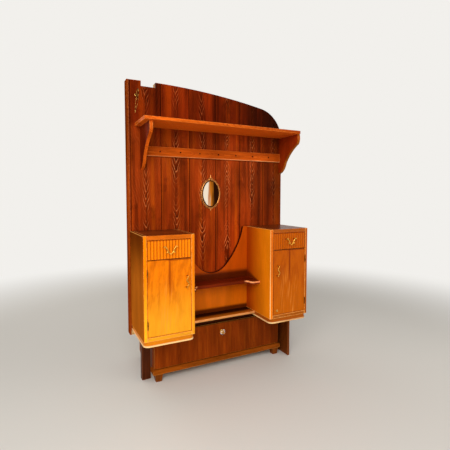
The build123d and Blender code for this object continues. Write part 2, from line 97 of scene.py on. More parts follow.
# Painted light and shade on the front edge of each case side: how light it is at its top and at its bottom
STILE_PAINTED_LIGHT = {
    "left_side_left": (1.0, 1.5),
    "left_side_right": (1.0, 0.92),
    "right_side_left": (1.5, 1.6),
    "right_side_right": (0.85, 0.8),
}
# Case sides beside the shelves, and which way along X each one faces them
NICHE_SIDES = {"left_side_right": 1, "right_side_left": -1}

# Mirror frame: reach beyond the glass, Y and radius of its ring, its outer wire and its beads
RING_REACH, RING_Y, RING_WIRE = 11.5 * MM, -6.4 * MM, 2.8 * MM
OUTER_REACH, OUTER_Y, OUTER_WIRE = 19 * MM, -4.6 * MM, 0.9 * MM
BEAD_REACH, BEAD_Y, BEAD_RADIUS = 18.6 * MM, -5.6 * MM, 2.6 * MM
# Millimetres beyond the glass and before the boards, from the back of the mirror's plate, a dark plate that
# stands for the shade in the frame's open band
PLATE_STEPS = ((18, -0.3), (18, -2.2), (10, -3.6), (3, -4.4), (2, -4.9))

# Chain of the pole ring
LINK_PITCH, LINK_WIDTH, LINK_WIRE = 5.2 * MM, 3.0 * MM, 0.6 * MM
CHAIN_LEAN = 16 * MM

# Camera, as found from the edges of the part
CAMERA_PLACE = (-1.162, -2.529, 1.355)
CAMERA_TILT = math.radians(90 - 3.35)
CAMERA_TURN = math.radians(-26.72)
CAMERA_LENS = 28.35
CAMERA_SHIFT_Y = -0.0196


def shade(code):
    """A linear colour from a six-digit hexadecimal one."""
    def linear(value):
        return value / 12.92 if value <= 0.04045 else ((value + 0.055) / 1.055) ** 2.4

    parts = (int(code[i:i + 2], 16) / 255 for i in (0, 2, 4))
    return (*(linear(v) for v in parts), 1.0)


def colour(name, description, code):
    """A colour that a user can change."""
    return FloatVectorProperty(
        name=name, description=description, subtype="COLOR", size=4, min=0, max=1, default=shade(code)
    )


def length(name, description, metres):
    """A length that a user can change."""
    return FloatProperty(name=name, description=description, default=metres, min=0, unit="LENGTH")


def power(name, description, watts):
    """A lamp's power that a user can change."""
    return FloatProperty(name=name, description=description, default=watts, min=0, unit="POWER")


def share(name, description, value):
    """A share from 0 to 1 that a user can change."""
    return FloatProperty(
        name=name, description=description, default=value, min=0, max=1, subtype="FACTOR"
    )


class StageSettings(bpy.types.PropertyGroup):
    """Floor, background and lamps."""

    floor: colour("Floor", "Colour of the plain floor", "d9d4cb")
    background: colour("Background", "Colour behind the part", "f2f0ec")
    floor_radius: length("Floor radius", "Where the floor has faded into the background", 5.0)
    key: power("Key lamp", "Power of the large lamp", 110)
    fill: power("Fill lamp", "Power of the soft lamps", 28)
    sky: share("Sky", "Strength of the even light from all sides", 0.45)


class BoardSettings(bpy.types.PropertyGroup):
    """Stained boards of the partition."""

    early: colour("Early wood", "Stained wood between the grain lines", "8a3009")
    late: colour("Late wood", "Dark grain lines", "380b02")
    # Painted highlight where the raised grain's ridges would catch the light
    glint: colour("Grain ridge", "Lighter ridge beside a grain line", "de8048")
    glow: colour("Light band", "Broad bands where the stain is thin", "b04a08")
    # Painted shade: tint of the boards over the shelf
    over_shelf_shade: colour("Dirt", "Tint of the boards over the shelf", "ffdcc8")
    warm: colour("Warm tint", "Tint of the boards low down", "ffe9c8")
    chevron: length("Chevron spacing", "Distance between the points of the figure", 0.044)
    ring: length("Ring width", "Distance between grain lines across the board", 0.014)


class CarcaseSettings(bpy.types.PropertyGroup):
    """Plain wood behind the boards and inside, and the stained legs."""

    plain: colour("Plain wood", "Drawer boxes, backs and the frame behind", "c69a62")
    plain_late: colour("Plain grain", "Grain lines of the plain wood", "8f5a2b")
    plain_worn: colour("Plain edges", "Edges of the frame behind", "dfc08e")
    leg: colour("Legs", "Stained legs", "54240d")
    leg_late: colour("Leg grain", "Grain lines of the legs", "2a0e05")
    leg_worn: colour("Leg edges", "Worn edges of the legs", "8c4a22")
    cheek: colour("Wall board", "Upright board on the side wall", "76380f")


class RackSettings(bpy.types.PropertyGroup):
    """Hat rack and edge lipping."""

    early: colour("Early wood", "Wood of the shelf and brackets", "cf5a12")
    late: colour("Late wood", "Grain lines", "93310a")
    far_end: colour("Shelf's far end", "The shelf near the side wall", "7a2a06")
    underside: colour("Underside", "The shelf's unstained underside", "ee6c18")
    rail: colour("Rail", "Wood of the peg rail", "b04a0c")
    # Painted highlight along the rail's lower edge
    lit_rail_edge: colour("Rail edge", "Rubbed lower edge of the rail", "ffb070")
    # Painted shade inside the peg holes
    hole: colour("Peg hole", "Inside of the peg holes", "200702")
    # Painted shade on the brackets' broad faces and painted light on the right bracket's edge
    shaded_face_left: colour("Left bracket face", "Broad faces of the left bracket", "5c1603")
    shaded_face_right: colour("Right bracket face", "Broad faces of the right bracket", "8c2b04")
    lit_edge_right: colour("Right bracket edge", "Sawn edge of the right bracket", "96520f")
    # Handled edges, worn and with a painted highlight; also the rack's grain ridges
    worn: colour("Worn edge", "Handled edges", "f08a3c")
    lipping: colour("Lipping", "Wood of the edge lipping", "943808")
    lipping_late: colour("Lipping grain", "Grain lines of the lipping", "6a2005")
    lipping_worn: colour("Lipping edge", "Worn edges of the lipping", "b8561a")


class DresserSettings(bpy.types.PropertyGroup):
    """Veneer of the dresser."""

    # The two cabinets share one veneer: the left one's colours below are a painted lit copy, the right
    # one's a painted shaded copy
    front_left: colour("Left front", "Veneer of the left cabinet's front", "f07c06")
    low_left: colour("Left front low", "The same veneer near the plinth", "fba31e")
    front_right: colour("Right front", "Veneer of the right cabinet's front", "b85504")
    plinth_left: colour("Left plinth", "Veneer of the left plinth", "e08012")
    rail_left: colour("Left rail", "Edge of the left case above the drawer", "cc620d")
    rail_right: colour("Right rails", "Edges and plinth of the right case", "a8520e")
    figure: colour("Figure", "Dark lines of the veneer", "9c3d02")
    flame: colour("Flame", "Broad darker flames of the veneer", "b85202")
    streak: colour("Streak", "Light streaks of the veneer", "f2963a")
    # Painted shade in the gaps round the doors and drawers; also the colour of the right door's veneer
    # joint
    seam: colour("Seam", "Dark edges of the doors and drawers", "8a3404")
    # The inner sides are a painted lit copy of the veneer, with painted shade towards the boards
    side: colour("Inner sides", "Veneer of the sides towards the shelves", "f58a0c")
    side_shade_behind: colour("Inner sides behind", "The same veneer near the boards", "a93c02")
    # Painted shadow on the inner sides just over the upper shelf
    corner: colour("Corner", "The same veneer just over the upper shelf", "5a1a04")
    # Painted shade on the left cabinet's outer side, darkest near the top
    outer_side_shade: colour("Outer side", "Veneer of the left cabinet's outer side", "b86216")
    outer_high_shade: colour("Outer side high up", "The same veneer near the top", "6a2e06")
    panel: colour("Back panel", "Veneer behind the shelves", "bf4d05")
    panel_low: colour("Back panel low", "The same veneer between the shelves", "d96a08")
    panel_dark: colour("Back panel shade", "The same veneer just over a shelf", "461202")
    panel_edge: colour("Back panel edge", "Sawn edge of the panel's hollow", "420f03")
    top: colour("Tops", "Worn tops of the cabinets and shelves", "6b2c0c")
    top_late: colour("Top grain", "Grain lines of the tops", "3a1205")
    top_worn: colour("Top edges", "Worn edges of the tops", "d06a28")
    # The shelves' tops turn dark towards the back as painted shade; the lower shelf's front is painted
    # light, the swells a painted highlight
    upper_edge: colour("Upper shelf edge", "Front of the upper shelf", "681e04")
    upper_shade_behind: colour("Upper shelf behind", "Back of the upper shelf's top", "641c04")
    swell: colour("Swells", "Rubbed swells of the upper shelf's front", "ffa868")
    lit_lower_edge: colour("Lower shelf edge", "Front of the lower shelf", "ffae62")
    lower_top: colour("Lower shelf top", "Top of the lower shelf near its front", "c86c14")
    lower_shade_behind: colour("Lower shelf behind", "Back of the lower shelf's top", "2a0c03")
    inner_late: colour("Inner grain", "Grain lines of the plain wood inside", "9a6a38")
    # Worn edges, and also a painted highlight along the rounded arrises
    worn: colour("Worn edge", "Rounded edges where the varnish is thin", "ffb257")
    # Pale wear on the plinths' lips, and a painted highlight there and on a front arris
    bright: colour("Bright arris", "Arrises rubbed down to pale wood", "ffdc9c")


class ChestSettings(bpy.types.PropertyGroup):
    """Base chest."""

    early: colour("Early wood", "Veneer of the chest", "8a3607")
    late: colour("Late wood", "Dark streaks", "5a1e04")
    glow: colour("Light band", "Broad lighter bands", "b8560f")
    moulding: colour("Moulding", "Base moulding", "8e4409")
    # Darkened as painted shade
    feet: colour("Feet", "Bracket feet", "743a10")
    # Painted shadow along the top edge of the drawer's front, under the lower shelf
    top_edge: colour("Top edge", "Dark top edge of the drawer's front", "260a02")
    worn: colour("Worn edge", "Worn edges of the chest", "d98a3a")


class FittingSettings(bpy.types.PropertyGroup):
    """Metal and glass fittings."""

    gold: colour("Gilt", "Bright gilt metal", "e8b257")
    copper: colour("Copper", "Rubbed metal of the mirror's ring", "e6984e")
    bronze: colour("Bronze", "Metal of the pulls", "ffbc48")
    hinge: colour("Hinges", "Metal of the hinges", "c8782a")
    tarnish: colour("Tarnish", "Gilt metal in the hollows", "381604")
    silver: colour("Silvering", "Clear silver behind the mirror glass", "fff0d8")
    # Painted reflection: the brown and the dark towards the mirror's right
    reflected_brown: colour("Stale silvering", "Silver that has gone brown", "c8741c")
    reflected_dark: colour("Lost silvering", "Where the silver has come away", "2a1206")
    glass: colour("Cut glass", "Tint of the knob's glass", "f6ece6")
    bead_pitch: length("Bead pitch", "Distance between beads on the mirror", 0.0155)
    links: IntProperty(name="Chain links", description="Links in each strand", default=16, min=1)
    facets: IntProperty(name="Knob facets", description="Sides of the glass knob", default=8, min=5)


class PartitionSettings(bpy.types.PropertyGroup):
    """All settings of the part."""

    stage: PointerProperty(type=StageSettings)
    boards: PointerProperty(type=BoardSettings)
    carcase: PointerProperty(type=CarcaseSettings)
    rack: PointerProperty(type=RackSettings)
    dresser: PointerProperty(type=DresserSettings)
    chest: PointerProperty(type=ChestSettings)
    fittings: PointerProperty(type=FittingSettings)


class Nodes:
    """Short ways to add and wire the nodes of one material, world or group."""

    def __init__(self, tree):
        self.tree = tree
        tree.nodes.clear()

    def feed(self, socket, value):
        """Links an output to a socket, or sets the socket to a plain value."""
        if isinstance(value, bpy.types.NodeSocket):
            self.tree.links.new(value, socket)
        else:
            socket.default_value = value

    def node(self, kind, inputs=None, **settings):
        """A new node with its settings and its named or numbered inputs."""
        made = self.tree.nodes.new("ShaderNode" + kind)
        for key, value in settings.items():
            setattr(made, key, value)
        for key, value in (inputs or {}).items():
            self.feed(made.inputs[key], value)
        return made

    def math(self, operation, a, b=0.0, c=0.0, clamp=False):
        return self.node("Math", {0: a, 1: b, 2: c}, operation=operation, use_clamp=clamp).outputs[0]

    def product(self, first, *others):
        """The values multiplied together."""
        for value in others:
            first = self.math("MULTIPLY", first, value)
        return first

    def minus(self, a, b):
        return self.math("SUBTRACT", a, b)

    def apart(self, a, b):
        """How far apart two values are."""
        return self.math("ABSOLUTE", self.minus(a, b))

    def vector(self, operation, a, b=(0, 0, 0)):
        return self.node("VectorMath", {0: a, 1: b}, operation=operation).outputs[0]

    def distance(self, vector):
        """How long a vector is."""
        return self.node("VectorMath", {0: vector}, operation="LENGTH").outputs["Value"]

    def scaled(self, vector, factor):
        return self.node("VectorMath", {0: vector, "Scale": factor}, operation="SCALE").outputs[0]

    def split(self, vector):
        return tuple(self.node("SeparateXYZ", {0: vector}).outputs)

    def join(self, x=0.0, y=0.0, z=0.0):
        return self.node("CombineXYZ", {0: x, 1: y, 2: z}).outputs[0]

    def mix(self, factor, a, b, blend="MIX"):
        made = self.node("Mix", {0: factor, 6: a, 7: b}, data_type="RGBA", blend_type=blend)
        return made.outputs[2]

    def stain(self, body, other, mask, strength, blend="MIX"):
        """body with another colour laid over it where the mask is 1."""
        return self.mix(self.math("MULTIPLY", mask, strength), body, other, blend)

    def remap(self, value, low, high, to_low=0.0, to_high=1.0, smooth=True):
        """to_low where value is low, to_high where it is high, and a soft change between."""
        kind = "SMOOTHSTEP" if smooth else "LINEAR"
        ends = {0: value, 1: low, 2: high, 3: to_low, 4: to_high}
        return self.node("MapRange", ends, interpolation_type=kind).outputs[0]

    def noise(self, vector, stretch, detail=2.0, roughness=0.5, output="Fac"):
        """Noise with a scale for each axis, or one number for all."""
        if isinstance(stretch, float):
            stretch = (stretch,) * 3
        inputs = {
            "Vector": self.vector("MULTIPLY", vector, stretch),
            "Scale": 1.0,
            "Detail": detail,
            "Roughness": roughness,
        }
        return self.node("TexNoise", inputs).outputs[output]

    def white(self, value):
        made = self.node("TexWhiteNoise", noise_dimensions="1D")
        self.feed(made.inputs["W"], value)
        return made.outputs["Value"]

    def place(self):
        """The point on the part, in the row frame."""
        return self.node("TexCoord").outputs["Object"]

    def facing(self):
        """The three parts of the direction that the surface faces."""
        return self.split(self.node("NewGeometry").outputs["Normal"])

    def faces(self, axis):
        """1 where the surface faces along an axis, either way, and 0 where it lies along it."""
        return self.math("ABSOLUTE", self.facing()["XYZ".index(axis)])

    def bump(self, height, distance):
        return self.node("Bump", {"Height": height, "Distance": distance}).outputs[0]

    def edge(self, place, middle, half):
        """Distance from a box's nearest edge: the second smallest distance from its faces."""
        from_middle = self.vector("ABSOLUTE", self.vector("SUBTRACT", place, middle))
        a, b, c = self.split(self.vector("SUBTRACT", half, from_middle))
        pair_low = self.math("MINIMUM", a, b)
        pair_high = self.math("MAXIMUM", a, b)
        return self.math("MAXIMUM", pair_low, self.math("MINIMUM", pair_high, c))

    def surface(self, shader, kind="Material"):
        """Makes a shader node the tree's result."""
        out = self.node(f"Output{kind}")
        self.feed(out.inputs["Surface"], shader.outputs[0])

    def finish(self, inputs):
        """Makes the whole material one shader with these inputs."""
        self.surface(self.node("BsdfPrincipled", inputs))


def new_material(name):
    """A material with an empty tree, and the helper that fills it."""
    made = bpy.data.materials.new(name)
    made.use_nodes = True
    return made, Nodes(made.node_tree)


def dress(node, material):
    """Gives a node of the part one material."""
    materials = NODES[node].data.materials
    materials.clear()
    materials.append(material)


def sawn_wood():
    """The node group that draws the figure of sawn wood in metres across, along and deep."""
    found = bpy.data.node_groups.get("Sawn wood")
    if found:
        return found
    tree = bpy.data.node_groups.new("Sawn wood", "ShaderNodeTree")
    inputs = (
        "Across",
        "Along",
        "Deep",
        "Seed",
        "Ring",
        "Pith",
        "Taper",
        "Wobble",
        "Knots",
        "Quiet",
        "Band across",
        "Band along",
    )
    outputs = ("Late", "Ridge", "Fibre", "Pore", "Tone", "Band", "Knot")
    for names, way in ((inputs, "INPUT"), (outputs, "OUTPUT")):
        for name in names:
            tree.interface.new_socket(name, in_out=way, socket_type="NodeSocketFloat")
    nt = Nodes(tree)
    given = tree.nodes.new("NodeGroupInput").outputs
    drawn = tree.nodes.new("NodeGroupOutput").inputs

    along = nt.math("MULTIPLY_ADD", given["Seed"], 3.7, given["Along"])
    wood = nt.join(given["Across"], along, given["Deep"])
    warp = nt.noise(wood, (5.0, 1.4, 5.0), output="Color")
    warp = nt.vector("SUBTRACT", warp, (0.5, 0.5, 0.5))
    sway, lift, lean = nt.split(nt.scaled(warp, given["Wobble"]))

    # A knot pushes the rings apart around itself
    spots = nt.node(
        "TexVoronoi", {"Vector": nt.vector("MULTIPLY", wood, (7.5, 1.9, 0.0)), "Scale": 1.0}
    ).outputs
    chosen = nt.math("LESS_THAN", nt.split(spots["Color"])[0], given["Knots"])
    swell = nt.product(nt.remap(spots["Distance"], 0.30, 0.02), chosen)
    core = nt.product(nt.remap(spots["Distance"], 0.10, 0.05), chosen)

    # Rings round the pith, which run out along the grain and are bent by the warp
    a = nt.math("ADD", given["Across"], sway)
    d = nt.math("ADD", nt.math("ADD", given["Deep"], given["Pith"]), lean)
    radius = nt.math("SQRT", nt.math("ADD", nt.product(a, a), nt.product(d, d)))
    radius = nt.math("MULTIPLY_ADD", along, given["Taper"], radius)
    radius = nt.math("MULTIPLY_ADD", lift, 0.6, radius)
    ripple = nt.minus(nt.noise(wood, (26.0, 13.0, 26.0)), 0.5)
    radius = nt.math("MULTIPLY_ADD", ripple, nt.product(given["Wobble"], 0.8), radius)
    radius = nt.math("MULTIPLY_ADD", swell, nt.product(given["Ring"], 3.5), radius)
    rings = nt.math("DIVIDE", radius, given["Ring"])
    year = nt.math("FLOOR", rings)
    part = nt.math("FRACT", rings)

    # The figure is lively near its middle and calm beyond
    away = nt.math("DIVIDE", nt.math("ABSOLUTE", a), given["Quiet"])
    lively = nt.remap(away, 1.6, 0.7, 0.12, 1.0)
    lively = nt.product(lively, nt.remap(nt.noise(wood, (6.0, 3.4, 6.0)), 0.40, 0.58, 0.15, 1.0))
    strength = nt.math("MULTIPLY_ADD", nt.white(year), 0.55, 0.45)
    late = nt.product(
        nt.remap(part, 0.30, 0.86), nt.remap(part, 0.93, 1.0, 1.0, 0.0), strength, lively
    )
    ridge = nt.math("MAXIMUM", nt.remap(part, 0.90, 1.0), nt.remap(part, 0.24, 0.04))
    ridge = nt.product(ridge, strength, lively)

    fibre = nt.noise(wood, (330.0, 8.0, 330.0), detail=3.0, roughness=0.6)
    pore = nt.remap(nt.noise(wood, (900.0, 30.0, 900.0), detail=1.0), 0.60, 0.74)
    tone = nt.noise(wood, (11.0, 2.2, 11.0), detail=3.0)
    spread = nt.join(given["Band across"], given["Band along"], given["Band across"])
    band = nt.noise(wood, spread, roughness=0.6)
    for name, value in zip(outputs, (late, ridge, fibre, pore, tone, band, core)):
        nt.feed(drawn[name], value)
    return tree


class Look(NamedTuple):
    """One kind of wood: its colours, the run of its grain, then how strongly each mark shows."""

    early: tuple = None
    late: tuple = None
    ridge: tuple = None
    glow: tuple = None
    worn: tuple = None
    # Metres between grain lines, from the face to the pith, and of side to side wander
    ring: float = 0.006
    pith: float = 0.05
    wobble: float = 0.03
    # How fast the rings run out along the grain, and the half width of the lively figure
    taper: float = 0.05
    quiet: float = 1.0
    knots: float = 0.0
    # Bands to the metre across and along
    band_across: float = 22.0
    band_along: float = 0.7
    figure: float = 0.7
    # How strongly the painted highlight on the grain's ridges shows
    glint: float = 0.0
    streak: float = 0.35
    band: float = 0.0
    tone: float = 0.35
    rub: float = 0.7
    rough: float = 0.42
    coat: float = 0.0
    specular: float = 0.05
    relief: float = 0.0004


# Tint of the sheen on stained and varnished wood
VARNISH = (1.0, 0.62, 0.30, 1.0)


def seed_of(name):
    """A steady number from a node's name, so that like pieces differ in figure."""
    return sum((i + 3) * ord(letter) for i, letter in enumerate(name)) % 97 / 9.7


def board_steps(nt, axes):
    """How many boards lie between the first board's start and the point."""
    return nt.math("DIVIDE", nt.minus(axes["X"], FIRST_BOARD), BOARD_PITCH)


def plank_figure(nt, axes, look):
    """The parts of the figure that differ from plank to plank."""
    steps = board_steps(nt, axes)
    plank = nt.math("FLOOR", nt.math("DIVIDE", steps, 2.0))
    chance = nt.white(plank)
    luck = nt.white(nt.math("ADD", plank, 0.37))
    joint = nt.math("MULTIPLY_ADD", plank, 2.0, 1.0)
    from_joint = nt.product(nt.minus(steps, joint), BOARD_PITCH)
    way = nt.math("SIGN", nt.minus(luck, 0.35))
    return {
        "Across": nt.math("ADD", from_joint, nt.math("MULTIPLY_ADD", chance, 0.016, -0.006)),
        "Seed": nt.product(chance, 31.0),
        "Ring": nt.math("MULTIPLY_ADD", luck, 0.3 * look.ring, 0.9 * look.ring),
        "Taper": nt.product(way, look.taper),
    }


def board_tone(nt, axes):
    """How light each board's stain came out, with painted shade on the last boards near the wall."""
    index = nt.math("FLOOR", board_steps(nt, axes))
    ramp = nt.node("ValToRGB", {0: nt.math("DIVIDE", nt.math("ADD", index, 0.5), BOARD_COUNT)})
    ramp.color_ramp.interpolation = "CONSTANT"
    stops = ramp.color_ramp.elements
    while len(stops) < BOARD_COUNT:
        stops.new(0.5)
    for i, tone in enumerate(BOARD_TONES):
        stops[i].position = i / BOARD_COUNT
        # A ramp's colours end at 1, so it holds half of each tone
        stops[i].color = (tone / 2, tone / 2, tone / 2, 1)
    return nt.product(ramp.outputs[0], 2.0)


def wood_colour(nt, look, early, grain, light):
    """Early wood, then broad bands, grain lines, a painted highlight on the ridges, knots, then streaks and
    pores.
    """
    body = early
    if look.band:
        body = nt.stain(body, look.glow, nt.remap(grain["Band"], 0.50, 0.66), look.band)
        body = nt.stain(body, look.late, nt.remap(grain["Band"], 0.47, 0.34), look.band)
    body = nt.stain(body, look.late, grain["Late"], look.figure)
    body = nt.stain(body, look.ridge, grain["Ridge"], look.glint)
    body = nt.stain(body, look.late, grain["Knot"], 0.8)
    streaks = nt.remap(grain["Fibre"], 0.30, 0.70, 1 - look.streak, 1 + look.streak, smooth=False)
    slow = nt.remap(grain["Tone"], 0.30, 0.70, 1 - look.tone, 1 + look.tone, smooth=False)
    pores = nt.math("MULTIPLY_ADD", grain["Pore"], -0.3 * look.streak, 1.0)
    return nt.scaled(body, nt.product(streaks, slow, pores, light))


def worn_and_lit_edges(nt, place, axes, low, high):
    """1 along the box's edges, in broken patches, where stain and varnish are worn off; the same mask
    carries a painted highlight on the arrises.
    """
    scuff = nt.noise(place, 70.0, detail=3.0, roughness=0.6)
    reach = nt.math("MULTIPLY_ADD", scuff, 7 * MM, -1.2 * MM)
    from_edge = nt.edge(place, (low + high) / 2, (high - low) / 2)
    rubbed = nt.remap(nt.minus(from_edge, reach), 1.4 * MM, -0.6 * MM)
    if high.y < 1 * MM:
        # A piece that stands against the boards isn't rubbed there
        rubbed = nt.product(rubbed, nt.remap(axes["Y"], high.y - 3 * MM, high.y - 9 * MM))
    return rubbed


def timber(node, look, along, deep, boards=False, matched=False, tint=None, extra=None):
    """Gives a node of the part its wood. along and deep are axes: the grain's and the thickness.

    boards gives each board its own figure and tone, matched mirrors the figure about the middle,
    tint(nt, axes) returns the early wood's colour where it changes over the piece, and
    extra(nt, axes, colour) returns the colour after last marks.
    """
    made, nt = new_material(f"{node} finish")
    low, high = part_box(node)
    centre = dict(zip("XYZ", (low + high) / 2))
    place = nt.place()
    axes = dict(zip("XYZ", nt.split(place)))
    across_axis = "XYZ".replace(along, "").replace(deep, "")
    across = nt.minus(axes[across_axis], centre[across_axis])
    if matched:
        across = nt.math("ABSOLUTE", across)
    inputs = {
        "Across": across,
        "Along": axes[along],
        "Deep": nt.minus(axes[deep], centre[deep]),
        "Seed": seed_of(node),
        "Ring": look.ring,
        "Pith": look.pith,
        "Taper": look.taper,
        "Wobble": look.wobble,
        "Knots": look.knots,
        "Quiet": look.quiet,
        "Band across": look.band_across,
        "Band along": look.band_along,
    }
    light = 1.0
    if boards:
        inputs.update(plank_figure(nt, axes, look))
        light = board_tone(nt, axes)
    grain = nt.node("Group", inputs, node_tree=sawn_wood()).outputs

    body = wood_colour(nt, look, tint(nt, axes) if tint else look.early, grain, light)
    if extra:
        body = extra(nt, axes, body)
    # Edge wear together with painted highlights on the arrises
    rubbed = worn_and_lit_edges(nt, place, axes, low, high)
    body = nt.stain(body, look.worn, rubbed, look.rub)

    rough = nt.math("MULTIPLY_ADD", grain["Fibre"], 0.16, look.rough - 0.15)
    smears = nt.noise(place, (9.0, 9.0, 4.0))
    rough = nt.math("MULTIPLY_ADD", smears, 0.14, rough)
    rough = nt.math("MULTIPLY_ADD", rubbed, 0.18, rough, clamp=True)
    height = nt.math("MULTIPLY_ADD", grain["Late"], 0.8, nt.product(grain["Fibre"], 0.5))
    height = nt.math("MULTIPLY_ADD", grain["Pore"], -0.4, height)
    nt.finish(
        {
            "Base Color": body,
            "Roughness": rough,
            "Normal": nt.bump(height, look.relief),
            "Specular IOR Level": look.specular,
            "Specular Tint": VARNISH,
            "Coat Weight": look.coat,
            "Coat Roughness": 0.16,
        }
    )
    dress(node, made)


def gilt(name, settings, shine=1.0, age=0.0, metal=None):
    """Aged gilt metal, darker in the hollows near the surface that it is fixed to.

    age is how much of the gilt has gone dull all over, and metal its colour where it isn't gold.
    """
    made, nt = new_material(name)
    place = nt.place()
    spots = nt.noise(place, 420.0, detail=3.0, roughness=0.65)
    patches = nt.noise(place, 90.0)
    hollow = nt.remap(nt.facing()[1], -0.75, 0.15)
    dark = nt.math("MAXIMUM", hollow, nt.remap(spots, 0.58, 0.72), clamp=True)
    dark = nt.product(dark, nt.remap(patches, 0.30, 0.62, 0.45, 0.95))
    dull = nt.math("MULTIPLY", nt.remap(patches, 0.38, 0.60, 0.55, 1.45), age, clamp=True)
    dark = nt.math("MAXIMUM", dark, dull)
    nt.finish(
        {
            "Base Color": nt.mix(dark, metal or settings.gold, settings.tarnish),
            "Metallic": 1.0,
            "Roughness": nt.math("MULTIPLY_ADD", dark, 0.35, 0.34 - 0.12 * shine),
            "Normal": nt.bump(spots, 0.0003),
        }
    )
    return made


def full_turn(count):
    """Angles that share out one turn."""
    return [2 * math.pi * k / count for k in range(count)]


def in_mm(*pairs):
    """A profile for turned shapes, from distances and radii in millimetres."""
    return [(distance * MM, radius * MM) for distance, radius in pairs]


class Form:
    """Points and faces of one piece, gathered from tubes, turned shapes and plates."""

    def __init__(self):
        self.points = []
        self.faces = []

    def skin(self, rows, joined=False):
        """Faces round closed rows of points. joined links the last row to the first."""
        first = len(self.points)
        count = len(rows[0])
        for row in rows:
            self.points.extend(row)
        pairs = list(zip(range(len(rows)), range(1, len(rows))))
        if joined:
            pairs.append((len(rows) - 1, 0))
        for r, s in pairs:
            for c in range(count):
                d = (c + 1) % count
                corners = (r * count + c, r * count + d, s * count + d, s * count + c)
                self.faces.append(tuple(first + k for k in corners))
        if not joined:
            self.faces.append(tuple(first + k for k in reversed(range(count))))
            last = first + (len(rows) - 1) * count
            self.faces.append(tuple(last + k for k in range(count)))

    def tube(self, path, radius, sides=10, joined=False):
        """A round bar along a path. radius is a number, or a function of the share of the way."""
        rows = []
        count = len(path)
        for i, point in enumerate(path):
            ahead = path[(i + 1) % count] if joined or i + 1 < count else point
            behind = path[i - 1] if joined or i else point
            along = (ahead - behind).normalized()
            side = along.cross(Vector((0, 1, 0))).normalized()
            lift = side.cross(along)
            r = radius(i / (count - 1)) if callable(radius) else radius
            rows.append([point + (side * math.cos(a) + lift * math.sin(a)) * r for a in full_turn(sides)])
        self.skin(rows, joined)

    def hoop(self, middle, flat, half_w, half_h, wire, count, sides):
        """A hoop of round wire that stands in the plane of flat and Z."""
        across = flat.cross(Vector(UP))
        rows = []
        for a in full_turn(count):
            out = flat * math.cos(a) * half_w + Vector(UP) * math.sin(a) * half_h
            away = out.normalized()
            around = (away * math.cos(b) + across * math.sin(b) for b in full_turn(sides))
            rows.append([middle + out + step * wire for step in around])
        self.skin(rows, joined=True)

    def bar(self, x, y, z):
        """A square bar between two X, two Y and two Z values."""
        corners = ((x[0], y[0]), (x[1], y[0]), (x[1], y[1]), (x[0], y[1]))
        self.skin([[Vector((*corner, level)) for corner in corners] for level in z])

    def turned(self, profile, base, axis, sides):
        """A turned shape: profile holds (distance along axis from base, radius)."""
        axis = Vector(axis).normalized()
        side = axis.orthogonal().normalized()
        lift = axis.cross(side)
        rows = []
        for distance, r in profile:
            middle = Vector(base) + axis * distance
            rows.append([middle + (side * math.cos(a) + lift * math.sin(a)) * r for a in full_turn(sides)])
        self.skin(rows)

    def ball(self, centre, radius, sides):
        """A ball with a small flat at its front and back."""
        steps = max(4, sides // 2)
        angles = [math.pi * k / steps for k in range(steps + 1)]
        profile = [
            (-radius * math.cos(a), max(radius * math.sin(a), radius * 0.02)) for a in angles
        ]
        self.turned(profile, centre, TO_ROOM, sides)

    def build(self, name, material):
        """A new object made of the points and faces."""
        mesh = bpy.data.meshes.new(name)
        mesh.from_pydata([tuple(p) for p in self.points], [], self.faces)
        mesh.materials.append(material)
        made = bpy.data.objects.new(name, mesh)
        bpy.context.scene.collection.objects.link(made)
        return made

    def piece(self, name, material, body, replaces=(), crisp=40):
        """Makes the piece, which rides on a body. Edges sharper than crisp degrees stay sharp."""
        made = self.build(name, material)
        work = bmesh.new()
        work.from_mesh(made.data)
        bmesh.ops.recalc_face_normals(work, faces=work.faces)
        work.to_mesh(made.data)
        work.free()
        made.data.shade_smooth()
        made.data.set_sharp_from_angle(angle=math.radians(crisp))
        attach(made, body)
        if replaces:
            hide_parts(*replaces)


def smooth_path(points, steps):
    """A smooth line through points."""
    ends = [points[0], *points, points[-1]]
    path = []
    for a, b, c, d in zip(ends, ends[1:], ends[2:], ends[3:]):
        for i in range(steps):
            t = i / steps
            bend = 2 * a - 5 * b + 4 * c - d
            path.append(0.5 * (2 * b + (c - a) * t + bend * t**2 + (3 * b - a - 3 * c + d) * t**3))
    path.append(points[-1])
    return path


def half_sizes(box):
    """Half of a box's width and half of its height."""
    low, high = box
    return (high.x - low.x) / 2, (high.z - low.z) / 2


def oval(box, reach, y, count=72):
    """Points round an upright oval that reaches beyond the one that fills a box."""
    centre = (box[0] + box[1]) / 2
    half_w, half_h = (half + reach for half in half_sizes(box))
    return [
        Vector((centre.x + half_w * math.sin(a), y, centre.z + half_h * math.cos(a)))
        for a in full_turn(count)
    ]


def scroll(start, heading, size, turns, hand, y, steps):
    """Points of a scroll that leaves start at a heading and winds in on itself."""
    path = [Vector((start[0], y, start[1]))]
    angle = heading
    for i in range(steps):
        t = i / steps
        step = size * 2.4 / steps * (1 - 0.82 * t)
        angle += hand * turns * 2 * math.pi / steps
        path.append(path[-1] + Vector((math.cos(angle), 0, math.sin(angle))) * step)
    return path


def settings_of(context):
    return context.scene.wagon_partition


